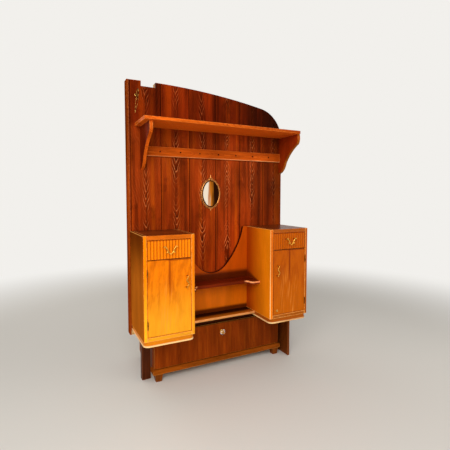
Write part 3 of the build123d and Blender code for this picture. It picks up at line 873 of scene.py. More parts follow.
class SetStage(bpy.types.Operator):
    """Floor, background, lamps and camera."""

    bl_idname = "wagon_partition.set_stage"
    bl_label = "Set stage"

    def execute(self, context):
        stage = settings_of(context).stage
        scene = context.scene
        scene.view_settings.view_transform = "Standard"
        self.floor(stage)
        self.world(scene, stage)
        self.lamps(scene, stage)
        self.camera(scene)
        return {"FINISHED"}

    def seen_directly(self, nt):
        """1 for rays that look at the background, straight or through metal and glass."""
        path = nt.node("LightPath").outputs
        seen = nt.math("MAXIMUM", path["Is Camera Ray"], path["Is Glossy Ray"])
        return nt.math("MAXIMUM", seen, path["Is Transmission Ray"])

    def floor(self, stage):
        made, nt = new_material("floor finish")
        rim = stage.floor_radius
        far = nt.remap(nt.distance(nt.place()), rim * 0.45, rim * 0.95)
        matt = nt.node("BsdfDiffuse", {"Color": stage.floor})
        glow = nt.node("Emission", {"Color": stage.background, "Strength": 1.0})
        factor = nt.product(far, self.seen_directly(nt))
        nt.surface(nt.node("MixShader", {0: factor, 1: matt.outputs[0], 2: glow.outputs[0]}))
        thickness, gap = 10 * MM, 0.2 * MM
        form = Form()
        form.turned([(0, rim), (thickness, rim)], (0, 0, -gap), DOWN, 96)
        form.build("floor", made)

    def world(self, scene, stage):
        scene.world = bpy.data.worlds.new("studio")
        scene.world.use_nodes = True
        nt = Nodes(scene.world.node_tree)
        even = nt.node("Background", {"Color": (1, 1, 1, 1), "Strength": stage.sky})
        seen = nt.node("Background", {"Color": stage.background, "Strength": 1.0})
        ends = {0: self.seen_directly(nt), 1: even.outputs[0], 2: seen.outputs[0]}
        nt.surface(nt.node("MixShader", ends), "World")

    def lamps(self, scene, stage):
        # Name, place, height of the point aimed at, width and power
        table = (
            ("key", (-1.9, -3.1, 2.7), 0.9, 2.2, stage.key),
            ("fill", (2.6, -2.6, 1.8), 0.9, 2.4, stage.fill),
            ("back", (-1.5, 3.2, 2.6), 1.0, 2.4, stage.fill),
        )
        for name, place, target, width, watts in table:
            data = bpy.data.lights.new(name, "AREA")
            data.shape = "SQUARE"
            data.size = width
            data.energy = watts
            lamp = bpy.data.objects.new(name, data)
            lamp.location = place
            aim = Vector((0, 0, target)) - Vector(place)
            lamp.rotation_euler = aim.to_track_quat("-Z", "Y").to_euler()
            scene.collection.objects.link(lamp)

    def camera(self, scene):
        data = bpy.data.cameras.new("camera")
        data.lens = CAMERA_LENS
        data.shift_y = CAMERA_SHIFT_Y
        camera = bpy.data.objects.new("camera", data)
        camera.location = CAMERA_PLACE
        camera.rotation_euler = (CAMERA_TILT, 0, CAMERA_TURN)
        scene.collection.objects.link(camera)
        scene.camera = camera


class FinishBoards(bpy.types.Operator):
    """Stained boards with chevron grain, and the plain frame behind them."""

    bl_idname = "wagon_partition.finish_boards"
    bl_label = "Finish boards"

    def execute(self, context):
        settings = settings_of(context)
        self.finish_boards(settings.boards)
        self.finish_frame(settings.carcase)
        return {"FINISHED"}

    def finish_boards(self, boards):
        look = Look(
            early=boards.early,
            late=boards.late,
            ridge=boards.glint,
            glow=boards.glow,
            worn=boards.glint,
            ring=boards.ring,
            pith=0.005,
            wobble=0.036,
            taper=-boards.ring / boards.chevron,
            quiet=0.020,
            knots=0.25,
            band_across=17.0,
            figure=0.95,
            glint=0.95,
            streak=0.16,
            band=0.58,
            tone=0.42,
            rub=0.4,
            rough=0.38,
            specular=0.02,
            relief=0.0012,
        )

        def marks(nt, axes, body):
            """The planks' joints with painted highlight and shade, smudges, painted shade over the shelf,
            and painted shadow beside the dresser's panel.
            """
            in_room = nt.remap(nt.facing()[1], 0.6, 0.2)
            body = self.joints(nt, axes, body, boards)
            # Painted shade on the surfaces that face along X, the sides of the joints
            body = nt.stain(body, boards.late, nt.remap(nt.faces("X"), 0.2, 0.6), 0.35)
            smudge = nt.noise(nt.place(), (10.0, 10.0, 6.0), detail=4.0, roughness=0.65)
            body = nt.stain(body, boards.late, nt.remap(smudge, 0.52, 0.68), 0.4)
            body = self.over_shelf_shade(nt, axes, body, boards, in_room)
            # Painted shadow on the boards beside the panel's hollow edge
            hollow_shadow = nt.product(self.near_hollow(nt, axes), in_room)
            body = nt.stain(body, boards.late, hollow_shadow, 0.8)
            # The boards are lighter and warmer low down
            lower = nt.remap(axes["Z"], 1.75, 0.9)
            body = nt.stain(body, boards.warm, lower, 0.6, "MULTIPLY")
            return nt.scaled(body, nt.math("MULTIPLY_ADD", lower, 0.10, 1.06))

        timber("partition_boards", look, "Z", "Y", boards=True, extra=marks)

    def joints(self, nt, axes, body, boards):
        """The dark joints between planks, each with a painted highlight a few millimetres to its right."""
        planks = nt.math("DIVIDE", nt.minus(axes["X"], FIRST_BOARD), PLANK)
        off = nt.product(nt.math("FRACT", planks), PLANK)
        joint = nt.math("MAXIMUM", nt.remap(off, 4 * MM, 2 * MM), nt.remap(off, PLANK - 3 * MM, PLANK))
        body = nt.stain(body, boards.late, joint, 0.85)
        ledge_highlight = nt.product(nt.remap(off, 4 * MM, 6 * MM), nt.remap(off, 10 * MM, 7 * MM))
        return nt.stain(body, boards.glow, ledge_highlight, 0.4)

    def over_shelf_shade(self, nt, axes, body, boards, in_room):
        """Painted shade on the boards over the shelf, darker at the free edge and most of all at the wall.
        """
        shelf_low, shelf_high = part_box("hat_shelf")
        left, right = CAD_BOX[0].x, CAD_BOX[1].x
        over = nt.remap(axes["Z"], shelf_low.z - 10 * MM, shelf_high.z + 10 * MM)
        to_wall = nt.remap(axes["X"], left + 0.3, right - 0.1, 0.2, 0.8)
        first_boards = nt.remap(axes["X"], left + 0.36, left + 0.2, 0.2, 0.46)
        dark = nt.math("MAXIMUM", to_wall, first_boards)
        shaded_boards = nt.mix(1.0, nt.scaled(body, nt.minus(1.0, dark)), boards.over_shelf_shade, "MULTIPLY")
        return nt.mix(nt.product(over, in_room), body, shaded_boards)

    def near_hollow(self, nt, axes):
        """1 on the boards beside the dresser panel's hollow edge, where a shadow is painted, 0 a little way
        off.
        """
        off = nt.apart(axes["X"], CAD_BOX[0].x + HOLLOW_MIDDLE)
        near = []
        for x, z, radius in (BOWL_ARC, SIDE_ARC):
            way = nt.distance(nt.join(nt.minus(off, x), 0.0, nt.minus(axes["Z"], z)))
            near.append(nt.remap(way, radius - 9 * MM, radius - 2 * MM))
        in_bowl = nt.math("LESS_THAN", axes["Z"], BOWL_TOP)
        bowl = nt.product(near[0], in_bowl)
        side = nt.product(near[1], nt.minus(1.0, in_bowl))
        below_top = nt.remap(axes["Z"], HOLLOW_TOP + 10 * MM, HOLLOW_TOP - 10 * MM)
        return nt.product(nt.math("ADD", bowl, side), below_top)

    def finish_frame(self, carcase):
        """Stiles, rails and rib behind the boards, the legs, and the board on the side wall."""
        plain = Look(
            early=carcase.plain,
            late=carcase.plain_late,
            ridge=carcase.plain,
            worn=carcase.plain_worn,
            figure=0.6,
            streak=0.15,
            tone=0.15,
            rough=0.62,
        )
        leg = plain._replace(
            early=carcase.leg,
            late=carcase.leg_late,
            worn=carcase.leg_worn,
            streak=0.3,
            rough=0.45,
            coat=0.1,
        )
        for node in ("rear_stile_left", "rear_stile_right"):
            timber(node, plain, "Z", "Y")
        for node in ("rear_rail_low", "rear_rail_high", "sole_rail", "roof_rib"):
            timber(node, plain, "X", "Y")
        for node in ("leg_left", "leg_right"):
            timber(node, leg, "Z", "Y")
        timber("wall_cheek", leg._replace(early=carcase.cheek), "Z", "X")


class FinishRack(bpy.types.Operator):
    """Hat shelf, brackets, peg rail and edge lipping."""

    bl_idname = "wagon_partition.finish_rack"
    bl_label = "Finish hat rack"

    def execute(self, context):
        rack = settings_of(context).rack
        look = Look(
            early=rack.early,
            late=rack.late,
            ridge=rack.worn,
            worn=rack.worn,
            ring=0.007,
            pith=0.03,
            taper=0.09,
            knots=0.12,
            figure=0.8,
            glint=0.2,
            rough=0.36,
            specular=0.02,
            relief=0.0006,
        )
        self.shelf(look, rack)
        self.rail(look, rack)
        self.lipping(look, rack)
        bracket = look._replace(glint=0.1, tone=0.25)
        self.bracket("bracket_left", bracket, rack.early, rack.shaded_face_left)
        self.bracket("bracket_right", bracket, rack.lit_edge_right, rack.shaded_face_right)
        return {"FINISHED"}

    def shelf(self, look, rack):
        low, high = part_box("hat_shelf")

        def darker_right(nt, axes):
            right = nt.remap(axes["X"], low.x + 0.4 * (high.x - low.x), high.x)
            return nt.stain(rack.early, rack.far_end, right, 0.75)

        def light_below(nt, axes, body):
            below = nt.remap(nt.facing()[2], -0.3, -0.8)
            return nt.stain(body, rack.underside, below, 0.85)

        timber("hat_shelf", look, "X", "Z", tint=darker_right, extra=light_below)

    def rail(self, look, rack):
        def edge_highlight_and_hole_shade(nt, axes):
            """A painted highlight along the lower edge, brighter to the right, and painted shade inside the
            holes.
            """
            below = nt.remap(nt.facing()[2], -0.1, -0.5)
            rubbed = nt.product(below, nt.remap(axes["X"], -0.1, 0.25, 0.5, 1.0))
            body = nt.mix(rubbed, rack.rail, rack.lit_rail_edge)
            hole = nt.product(nt.remap(nt.faces("Y"), 0.5, 0.1), nt.faces("X"))
            return nt.mix(nt.remap(hole, 0.05, 0.2), body, rack.hole)

        timber("peg_rail", look._replace(glint=0.1, rub=0.4, knots=0.3), "X", "Y", tint=edge_highlight_and_hole_shade)

    def lipping(self, look, rack):
        def darker_up(nt, axes, body):
            return nt.scaled(body, nt.remap(axes["Z"], 1.35, 2.0, 1.0, 0.6))

        look = look._replace(
            early=rack.lipping,
            late=rack.lipping_late,
            worn=rack.lipping_worn,
            tone=0.3,
            rub=0.5,
            specular=0.0,
        )
        timber("edge_lipping", look, "Z", "X", extra=darker_up)

    def bracket(self, node, look, edge, face):
        # Painted shade on the broad faces and painted light on the front edge, by which way the surface
        # faces
        def shaded_face_or_lit_edge(nt, axes):
            return nt.mix(nt.remap(nt.faces("X"), 0.35, 0.75), edge, face)

        timber(node, look, "Z", "X", tint=shaded_face_or_lit_edge)


class Cabinet:
    """One cabinet of the dresser, with the veneers that its pieces share."""

    def __init__(self, side, dresser, veneer):
        self.side = side
        self.on_left = side == "left"
        self.dresser = dresser
        self.veneer = veneer
        self.door_low, self.door_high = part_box(f"{side}_door")
        self.middle_x = (self.door_low.x + self.door_high.x) / 2
        # The left cabinet takes the painted lit copies of the veneer, the right one the painted shaded
        # copies
        if self.on_left:
            self.front, self.plinth = dresser.front_left, dresser.plinth_left
            self.high_rail, self.low_rail = dresser.rail_left, dresser.low_left
        else:
            self.front = dresser.front_right
            self.plinth = self.high_rail = self.low_rail = dresser.rail_right

    def finish(self):
        """The door, the drawer's front, the plinth and the sides of the case."""
        side = self.side
        look = self.veneer._replace(early=self.front)
        # The edges of the doors and drawers take painted shade for the gaps round them
        inset = look._replace(worn=self.dresser.seam, rub=0.18 if self.on_left else 0.4, figure=0.02)
        timber(f"{side}_door", inset, "Z", "Y", matched=True, tint=self.front_tint, extra=self.flames)
        timber(f"{side}_drawer_front", inset, "Z", "Y", extra=self.reeds)
        timber(f"{side}_plinth", look._replace(early=self.plinth), "X", "Y", extra=self.lip)
        for name in ("side_left", "side_right"):
            self.case_side(f"{side}_{name}")

    def front_tint(self, nt, axes):
        """The front's veneer, which is lighter towards the plinth."""
        if self.on_left:
            return nt.mix(nt.remap(axes["Z"], 0.86, 0.50), self.front, self.dresser.low_left)
        return nt.stain(self.front, self.dresser.side, nt.remap(axes["Z"], 0.86, 0.45), 0.12)

    def flames(self, nt, axes, body):
        """Dark flames high on the door, light streaks low down, and the joint of its veneers."""
        dresser = self.dresser
        off = nt.apart(axes["X"], self.middle_x)
        high_up = nt.remap(axes["Z"], 0.52, 0.80, 0.15, 1.0)
        leaning = nt.math("MULTIPLY_ADD", axes["Z"], -0.10, axes["X"])
        place = nt.join(leaning, axes["Z"], seed_of(self.side))
        broad = nt.noise(place, (24.0, 7.0, 1.0), detail=3.0, roughness=0.65)
        thin = nt.noise(place, (85.0, 4.0, 1.0), roughness=0.6)
        flame = dresser.flame if self.on_left else dresser.figure
        body = nt.stain(body, flame, nt.product(nt.remap(broad, 0.40, 0.70), high_up), 0.65)
        body = nt.stain(body, dresser.figure, nt.product(nt.remap(thin, 0.54, 0.72), high_up), 0.25)
        low_down = nt.remap(axes["Z"], 0.86, 0.68)
        light = nt.product(nt.remap(thin, 0.46, 0.34), low_down, nt.remap(off, 100 * MM, 40 * MM))
        body = nt.stain(body, dresser.streak, light, 0.4)
        joint, strength = (dresser.figure, 0.75) if self.on_left else (dresser.seam, 1.0)
        line = nt.product(nt.remap(off, 10 * MM, 3 * MM), nt.remap(axes["Z"], 0.68, 0.80))
        body = nt.stain(body, joint, line, strength)
        # Painted shadow in the gap over the door, on its right half
        top = nt.remap(axes["Z"], self.door_high.z - 12 * MM, self.door_high.z - 4 * MM)
        right = nt.remap(axes["X"], self.middle_x - 60 * MM, self.middle_x + 20 * MM)
        return nt.stain(body, dresser.seam, nt.product(top, right), 0.7)

    def reeds(self, nt, axes, body):
        """Painted shade in the valleys and a painted highlight on the crests of the reeded front, and
        painted shadow along its top edge.
        """
        low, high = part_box(f"{self.side}_drawer_front")
        depth = nt.minus(axes["Y"], low.y)
        body = nt.stain(body, self.dresser.figure, nt.remap(depth, 1.0 * MM, 4.2 * MM), 0.75)
        body = nt.scaled(body, nt.remap(depth, 1.2 * MM, 0.0, 1.0, 1.12))
        top = nt.remap(axes["Z"], high.z - 10 * MM, high.z - 3 * MM)
        return nt.stain(body, self.dresser.seam, top, 0.7)

    def lip(self, nt, axes, body):
        """The plinth's lower edge, worn pale and with a painted highlight. On the right one the highlight
        fades towards the side wall, as painted shade.
        """
        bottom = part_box(f"{self.side}_plinth")[0].z
        on_lip = nt.remap(axes["Z"], bottom + 11 * MM, bottom + 8 * MM)
        strength = 0.9
        if not self.on_left:
            strength = nt.remap(axes["X"], self.door_low.x, self.door_low.x + 0.14, 0.9, 0.42)
        return nt.stain(body, self.dresser.bright, on_lip, strength)

    def case_side(self, node):
        """A side of the case: its broad faces, its veneered front edge and its top."""
        low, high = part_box(node)
        dresser = self.dresser
        look = self.veneer
        outer = node == "left_side_left"
        if outer:
            look = look._replace(figure=0.3, streak=0.12, tone=0.16, coat=0.0, specular=0.0)
        elif node == "right_side_right":
            look = look._replace(figure=0.3, streak=0.12, tone=0.16)

        def front_or_face(nt, axes):
            x, _, z = nt.facing()
            # Painted shade on the outer side, darkest near the top
            if outer:
                face = nt.mix(nt.remap(axes["Z"], 0.75, high.z), dresser.outer_side_shade, dresser.outer_high_shade)
            else:
                # Painted shade on the inner sides, darker towards the boards
                face = nt.mix(nt.remap(axes["Y"], low.y, high.y), dresser.side, dresser.side_shade_behind)
            # Painted shadow over the upper shelf on the sides towards the shelves
            if node in NICHE_SIDES:
                towards = NICHE_SIDES[node]
                inner = nt.remap(x, 0.2 * towards, 0.6 * towards)
                corner = nt.product(self.corner_shadow(nt, axes, high.y), inner)
                face = nt.stain(face, dresser.corner, corner, 0.85)
            level = nt.remap(axes["Z"], high.z, low.z, *STILE_PAINTED_LIGHT[node], smooth=False)
            front = nt.scaled(self.front_tint(nt, axes), level)
            sideways = nt.math("ABSOLUTE", x)
            face = nt.mix(nt.remap(sideways, 0.35, 0.9), front, face)
            if node == "right_side_left":
                # A painted highlight on its front arris, strongest low down
                arris = nt.product(nt.remap(sideways, 0.35, 0.6), nt.remap(sideways, 0.98, 0.85))
                arris = nt.product(arris, nt.remap(axes["Z"], high.z, low.z, 0.3, 0.8))
                face = nt.mix(arris, face, dresser.bright)
            return nt.mix(nt.remap(z, 0.4, 0.8), face, dresser.top)

        timber(node, look, "Z", "X", tint=front_or_face)

    def corner_shadow(self, nt, axes, back):
        """1 over the upper shelf, where a shadow is painted, in a wedge that widens from the shelf's front
        to the back.
        """
        shelf_low, shelf_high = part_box("upper_shelf")
        front = shelf_low.y
        reach = nt.remap(axes["Y"], front, back, 2 * MM, 100 * MM, smooth=False)
        over = nt.math("DIVIDE", nt.minus(axes["Z"], shelf_high.z - 10 * MM), reach)
        wedge = nt.product(nt.remap(over, 1.0, 0.4), nt.remap(over, -0.1, 0.0))
        return nt.product(wedge, nt.remap(axes["Y"], front, front + 50 * MM))

    def beads(self):
        """Thin strips that line the openings of the door and the drawer."""
        side = self.side
        made, nt = new_material(f"{side} bead veneer")
        fibre = nt.noise(nt.place(), (260.0, 260.0, 40.0))
        nt.finish(
            {
                "Base Color": nt.mix(nt.remap(fibre, 0.4, 0.7), self.front, self.dresser.figure),
                "Roughness": nt.math("MULTIPLY_ADD", fibre, 0.2, 0.35),
                "Normal": nt.bump(fibre, 0.0002),
                "Specular IOR Level": 0.1,
            }
        )
        wide, narrow, gap = 3 * MM, 2 * MM, 1 * MM
        left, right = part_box(f"{side}_side_left")[1].x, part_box(f"{side}_side_right")[0].x
        bottom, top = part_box(f"{side}_bottom")[1].z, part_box(f"{side}_top")[0].z
        divider_low, divider_high = (corner.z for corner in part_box(f"{side}_divider"))
        hinges_low, hinges_high = (corner.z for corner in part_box(f"{side}_hinges"))
        on_left, on_right = (left, left + wide), (right - wide, right)
        if self.on_left:
            free, hinged = on_right, (left, left + narrow)
        else:
            free, hinged = on_left, (right - narrow, right)
        bars = (
            (free, (bottom, divider_low)),
            # The bead on the hinges' side leaves room for each hinge
            (hinged, (bottom + wide, hinges_low - gap)),
            (hinged, (hinges_low + HINGE_LENGTH + gap, hinges_high - HINGE_LENGTH - gap)),
            (hinged, (hinges_high + gap, divider_low)),
            ((left, right), (bottom, bottom + wide)),
            (on_left, (divider_high + gap, top)),
            (on_right, (divider_high + gap, top)),
            ((left, right), (top - wide, top)),
        )
        form = Form()
        for x, z in bars:
            form.bar(x, OPENING_BEAD_Y, z)
        form.piece(f"{side}_opening_beads", made, "partition")


class FinishDresser(bpy.types.Operator):
    """Veneered cases, doors, reeded drawers, back panel and shelves of the dresser."""

    bl_idname = "wagon_partition.finish_dresser"
    bl_label = "Finish dresser"

    def execute(self, context):
        settings = settings_of(context)
        dresser, plain = settings.dresser, settings.carcase.plain
        veneer = Look(
            early=dresser.front_left,
            late=dresser.figure,
            ridge=dresser.worn,
            worn=dresser.worn,
            ring=0.011,
            pith=0.03,
            wobble=0.05,
            taper=0.045,
            figure=0.1,
            streak=0.07,
            tone=0.1,
            rough=0.3,
            coat=0.06,
            relief=0.00012,
        )
        inner = veneer._replace(early=plain, late=dresser.inner_late, figure=0.5, rough=0.55, coat=0.0)
        top = veneer._replace(
            early=dresser.top,
            late=dresser.top_late,
            worn=dresser.top_worn,
            figure=0.3,
            tone=0.3,
            rub=0.35,
            specular=0.03,
        )
        for side in SIDES:
            cabinet = Cabinet(side, dresser, veneer)
            cabinet.finish()
            cabinet.beads()
            self.edged(f"{side}_top", top, cabinet.high_rail, dresser.top)
            self.edged(f"{side}_bottom", inner, cabinet.low_rail, plain)
            timber(f"{side}_back", inner, "Z", "Y")
            timber(f"{side}_divider", inner, "X", "Z")
            timber(f"{side}_inner_shelf", inner, "X", "Z")
            timber(f"{side}_drawer_box", inner, "Y", "Z")
        self.hollow_panel(veneer, dresser)
        upper = (dresser.upper_edge, dresser.top, dresser.upper_shade_behind)
        self.shelf("upper_shelf", top, *upper, (0.0, 0.5), dresser.swell)
        lower = (dresser.lit_lower_edge, dresser.lower_top, dresser.lower_shade_behind)
        self.shelf("lower_shelf", top, *lower, (0.1, 0.5))
        return {"FINISHED"}

    def edged(self, node, look, front, body):
        """A board that shows its veneered front edge."""
        def front_or_body(nt, axes):
            return nt.mix(nt.remap(nt.faces("Y"), 0.35, 0.8), body, front)

        timber(node, look, "X", "Z", tint=front_or_body)

    def hollow_panel(self, veneer, dresser):
        """The panel behind the shelves: shaded over each shelf, its sawn edge dark."""
        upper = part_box("upper_shelf")[1].z
        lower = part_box("lower_shelf")[1].z

        def lower_is_lighter(nt, axes):
            return nt.mix(nt.remap(axes["Z"], upper, upper - 30 * MM), dresser.panel, dresser.panel_low)

        def shaded(nt, axes, body):
            body = nt.mix(nt.remap(nt.faces("Y"), 0.8, 0.4), body, dresser.panel_edge)
            for level, reach in ((upper, 78 * MM), (lower, 46 * MM)):
                over = nt.minus(axes["Z"], level)
                dark = nt.product(nt.remap(over, reach, reach * 0.45), nt.remap(over, -20 * MM, 0.0))
                body = nt.stain(body, dresser.panel_dark, dark, 0.92)
            return body

        look = veneer._replace(tone=0.14, rub=0.0)
        timber("hollow_back_panel", look, "Z", "Y", tint=lower_is_lighter, extra=shaded)

    def shelf(self, node, look, edge, front, behind, fade, swell=None):
        """A shelf whose top turns dark between two shares of its depth, as painted shade, and its front
        edge.

        swell is the colour of the painted highlight on the swells near the front's ends, if it has them.
        """
        low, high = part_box(node)
        middle_x = (low.x + high.x) / 2
        start, end = (low.y + part * (high.y - low.y) for part in fade)

        def top_or_edge(nt, axes):
            top = nt.mix(nt.remap(axes["Y"], start, end), front, behind)
            side = edge
            if swell:
                off = nt.apart(axes["X"], middle_x)
                upper_half = nt.remap(axes["Z"], low.z + 8 * MM, low.z + 14 * MM)
                side = nt.mix(nt.product(nt.remap(off, 0.19, 0.22), upper_half), edge, swell)
            return nt.mix(nt.remap(nt.faces("Z"), 0.4, 0.9), side, top)

        timber(node, look, "X", "Z", tint=top_or_edge)


class FinishChest(bpy.types.Operator):
    """Base chest, its moulding, feet and drawer."""

    bl_idname = "wagon_partition.finish_chest"
    bl_label = "Finish chest"

    def execute(self, context):
        settings = settings_of(context)
        chest, carcase = settings.chest, settings.carcase
        look = Look(
            early=chest.early,
            late=chest.late,
            ridge=chest.moulding,
            glow=chest.glow,
            worn=chest.worn,
            ring=0.02,
            wobble=0.07,
            taper=0.03,
            band_across=52.0,
            band_along=2.5,
            figure=0.3,
            streak=0.18,
            band=0.25,
            tone=0.22,
            rub=0.4,
            rough=0.34,
            relief=0.0003,
        )
        plain = look._replace(early=carcase.plain, late=carcase.plain_late, tone=0.15, rough=0.6)
        self.drawer_front(look, chest)
        # Node, wood, and the axes of its grain and of its thickness
        for node, wood, along, deep in (
            ("chest_side_left", look, "Z", "X"),
            ("chest_side_right", look, "Z", "X"),
            ("chest_moulding", look._replace(early=chest.moulding), "X", "Y"),
            ("chest_feet", look._replace(early=chest.feet), "Z", "Y"),
            ("chest_top", look, "X", "Z"),
            ("chest_back", plain, "X", "Y"),
            ("chest_bottom", plain, "X", "Z"),
            ("base_drawer_box", plain, "Y", "Z"),
        ):
            timber(node, wood, along, deep)
        return {"FINISHED"}

    def drawer_front(self, look, chest):
        low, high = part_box("base_drawer_front")

        def shaded(nt, axes, body):
            """A lighter line under the painted shadow along the top edge, and painted shade that darkens it
            towards the right.
            """
            rubbed = nt.remap(axes["Z"], high.z - 20 * MM, high.z - 12 * MM)
            body = nt.stain(body, chest.moulding, rubbed, 0.4)
            body = nt.mix(nt.remap(axes["Z"], high.z - 10 * MM, high.z - 4 * MM), body, chest.top_edge)
            return nt.scaled(body, nt.remap(axes["X"], low.x, high.x, 1.0, 0.68))

        timber("base_drawer_front", look, "Z", "Y", extra=shaded)


class MakeMirror(bpy.types.Operator):
    """Oval mirror in an openwork gilt frame."""

    bl_idname = "wagon_partition.make_mirror"
    bl_label = "Make mirror"

    def execute(self, context):
        fittings = settings_of(context).fittings
        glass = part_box("mirror_glass")
        centre = (glass[0] + glass[1]) / 2
        copper = gilt("mirror copper", fittings, 1.0, 0.1, fittings.copper)
        dull = gilt("mirror scroll metal", fittings, 0.8, 0.35, fittings.copper)
        plate_shade_metal = gilt("mirror plate metal", fittings, 0.0, 1.0, fittings.tarnish)

        form = Form()
        form.tube(oval(glass, RING_REACH, RING_Y), RING_WIRE, joined=True)
        self.beads(form, glass, fittings.bead_pitch)
        self.crest(form, glass, centre)
        form.piece("mirror_ring", copper, "partition", ["mirror_frame"])

        form = Form()
        form.tube(oval(glass, OUTER_REACH, OUTER_Y), OUTER_WIRE, joined=True)
        self.scrolls(form, glass, centre)
        form.piece("mirror_scrolls", dull, "partition", ["mirror_frame"])

        # A dark plate behind the frame: painted shade in its open band
        form = Form()
        form.skin([oval(glass, reach * MM, y * MM) for reach, y in PLATE_STEPS])
        form.piece("mirror_back_plate", plate_shade_metal, "partition")
        self.silvering(fittings, glass, centre)
        return {"FINISHED"}

    def beads(self, form, glass, pitch):
        """Beads round the frame, at about a pitch."""
        w, h = (half + BEAD_REACH for half in half_sizes(glass))
        around = math.pi * (3 * (w + h) - math.sqrt((3 * w + h) * (w + 3 * h)))
        for point in oval(glass, BEAD_REACH, BEAD_Y, round(around / pitch)):
            form.ball(point, BEAD_RADIUS, 8)

    def scrolls(self, form, glass, centre):
        """Small scrolls that fill the open band, each with a bead at its end."""
        count = 18
        half_w, half_h = (half + 14 * MM for half in half_sizes(glass))
        for i in range(count):
            a = 2 * math.pi * (i + 0.5) / count
            hand = 1 if i % 2 else -1
            start = (centre.x + half_w * math.sin(a), centre.z + half_h * math.cos(a))
            heading = math.pi / 2 - a + hand * 1.0
            path = scroll(start, heading, 9 * MM, 0.85, -hand, RING_Y, 18)
            form.tube(path, lambda t: (1.5 - 0.7 * t) * MM, 6)
            form.ball(path[-1], 2.2 * MM, 8)

    def crest(self, form, glass, centre):
        """The finial and scrolls over the glass, and the drop and scrolls below it."""
        half_h = half_sizes(glass)[1]
        top = centre.z + half_h + 20 * MM
        low = centre.z - half_h - 20 * MM
        y = RING_Y
        finial = in_mm((0, 2.6), (3, 4.6), (7, 6.2), (12, 5.0), (17, 2.6), (22, 3.4), (28, 2.2), (33, 0.4))
        form.turned(finial, (centre.x, y, top), UP, 12)
        drop = in_mm((0, 2.4), (3, 4.8), (7, 5.6), (11, 3.4), (14, 2.4), (17, 3.0), (21, 0.4))
        form.turned(drop, (centre.x, y, low), DOWN, 12)
        for hand in (-1, 1):
            x = centre.x + hand * 3 * MM
            for lift, size, turns in ((0, 24, 1.0), (6, 17, 0.9)):
                heading = math.pi / 2 - hand * 0.9
                path = scroll((x, top + lift * MM), heading, size * MM, turns, -hand, y, 24)
                form.tube(path, lambda t: (2.1 - 1.2 * t) * MM, 8)
                form.ball(path[-1], 2.0 * MM, 8)
            path = scroll((x, low), -math.pi / 2 + hand * 0.9, 18 * MM, 0.95, hand, y, 20)
            form.tube(path, lambda t: (1.9 - 1.0 * t) * MM, 8)
            form.ball(path[-1], 1.8 * MM, 8)

    def silvering(self, fittings, glass, centre):
        """Silvering foxed near the rim, with a painted reflection that runs in upright streaks from cream
        at the left to brown and dark at the right.
        """
        made, nt = new_material("silvered glass")
        half = (glass[1] - glass[0]) / 2
        place = nt.place()
        x, _, z = nt.split(nt.vector("SUBTRACT", place, centre))
        across, upward = nt.math("DIVIDE", x, half.x), nt.math("DIVIDE", z, half.z)
        out = nt.math("ADD", nt.math("POWER", across, 2.0), nt.math("POWER", upward, 2.0))
        specks = nt.remap(nt.noise(place, 160.0, detail=3.0), 0.56, 0.66)
        foxed = nt.product(nt.remap(out, 0.78, 1.0), specks)
        run = nt.noise(place, (55.0, 55.0, 4.0))
        run = nt.math("ADD", across, nt.math("MULTIPLY_ADD", run, 1.2, -0.6))
        clear = nt.mix(nt.remap(run, -0.45, 0.05), fittings.silver, fittings.reflected_brown)
        clear = nt.mix(nt.remap(run, 0.15, 0.6), clear, fittings.reflected_dark)
        nt.finish(
            {
                "Base Color": nt.mix(foxed, clear, fittings.tarnish),
                "Metallic": 1.0,
                "Roughness": nt.math("MULTIPLY_ADD", foxed, 0.4, 0.03),
            }
        )
        dress("mirror_glass", made)


class MakePoleHook(bpy.types.Operator):
    """Brass ring for the curtain pole, with its small hanging chain."""

    bl_idname = "wagon_partition.make_pole_hook"
    bl_label = "Make pole ring"

    def execute(self, context):
        fittings = settings_of(context).fittings
        metal = gilt("pole ring brass", fittings, 0.6, 0.7)
        low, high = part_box("pole_ring")
        on_wall = ((low.x + high.x) / 2, high.y, (low.z + high.z) / 2)
        outer_r = (high.z - low.z) / 2
        wire = 3 * MM
        radius = outer_r - wire
        centre = Vector((on_wall[0], low.y + outer_r, on_wall[2]))
        form = Form()
        form.turned(in_mm((0, 9), (1.5, 9), (3, 4)), on_wall, TO_ROOM, 20)
        form.turned(in_mm((0, 2.2), (15, 2.2)), on_wall, TO_ROOM, 12)
        form.hoop(centre, Vector((0, 1, 0)), radius, radius, wire, 40, 10)
        form.piece("pole_ring_cast", metal, "partition", ["pole_ring"])
        self.chain(centre - Vector((0, 0, radius)), fittings.links, metal)
        return {"FINISHED"}

    def chain(self, start, links, metal):
        """Two strands of links that meet at a small drop."""
        form = Form()
        fall = links * LINK_PITCH
        for hand in (-1, 1):
            for i in range(links):
                t = (i + 0.5) / links
                spread = hand * 8 * MM * math.sin(math.pi * (0.3 + 0.7 * t)) - CHAIN_LEAN * t
                middle = start + Vector((spread, 0, -fall * t))
                flat = Vector((1, 0, 0)) if i % 2 else Vector((0, 1, 0))
                form.hoop(middle, flat, LINK_WIDTH / 2, LINK_PITCH * 0.78, LINK_WIRE, 10, 6)
        end = start + Vector((-CHAIN_LEAN, 0, -fall))
        drop = in_mm((0, 1.2), (3, 3.2), (7, 4.2), (12, 3.4), (18, 1.6), (22, 0.3))
        form.turned(drop, end, DOWN, 12)
        form.piece("pole_ring_chain", metal, "partition")


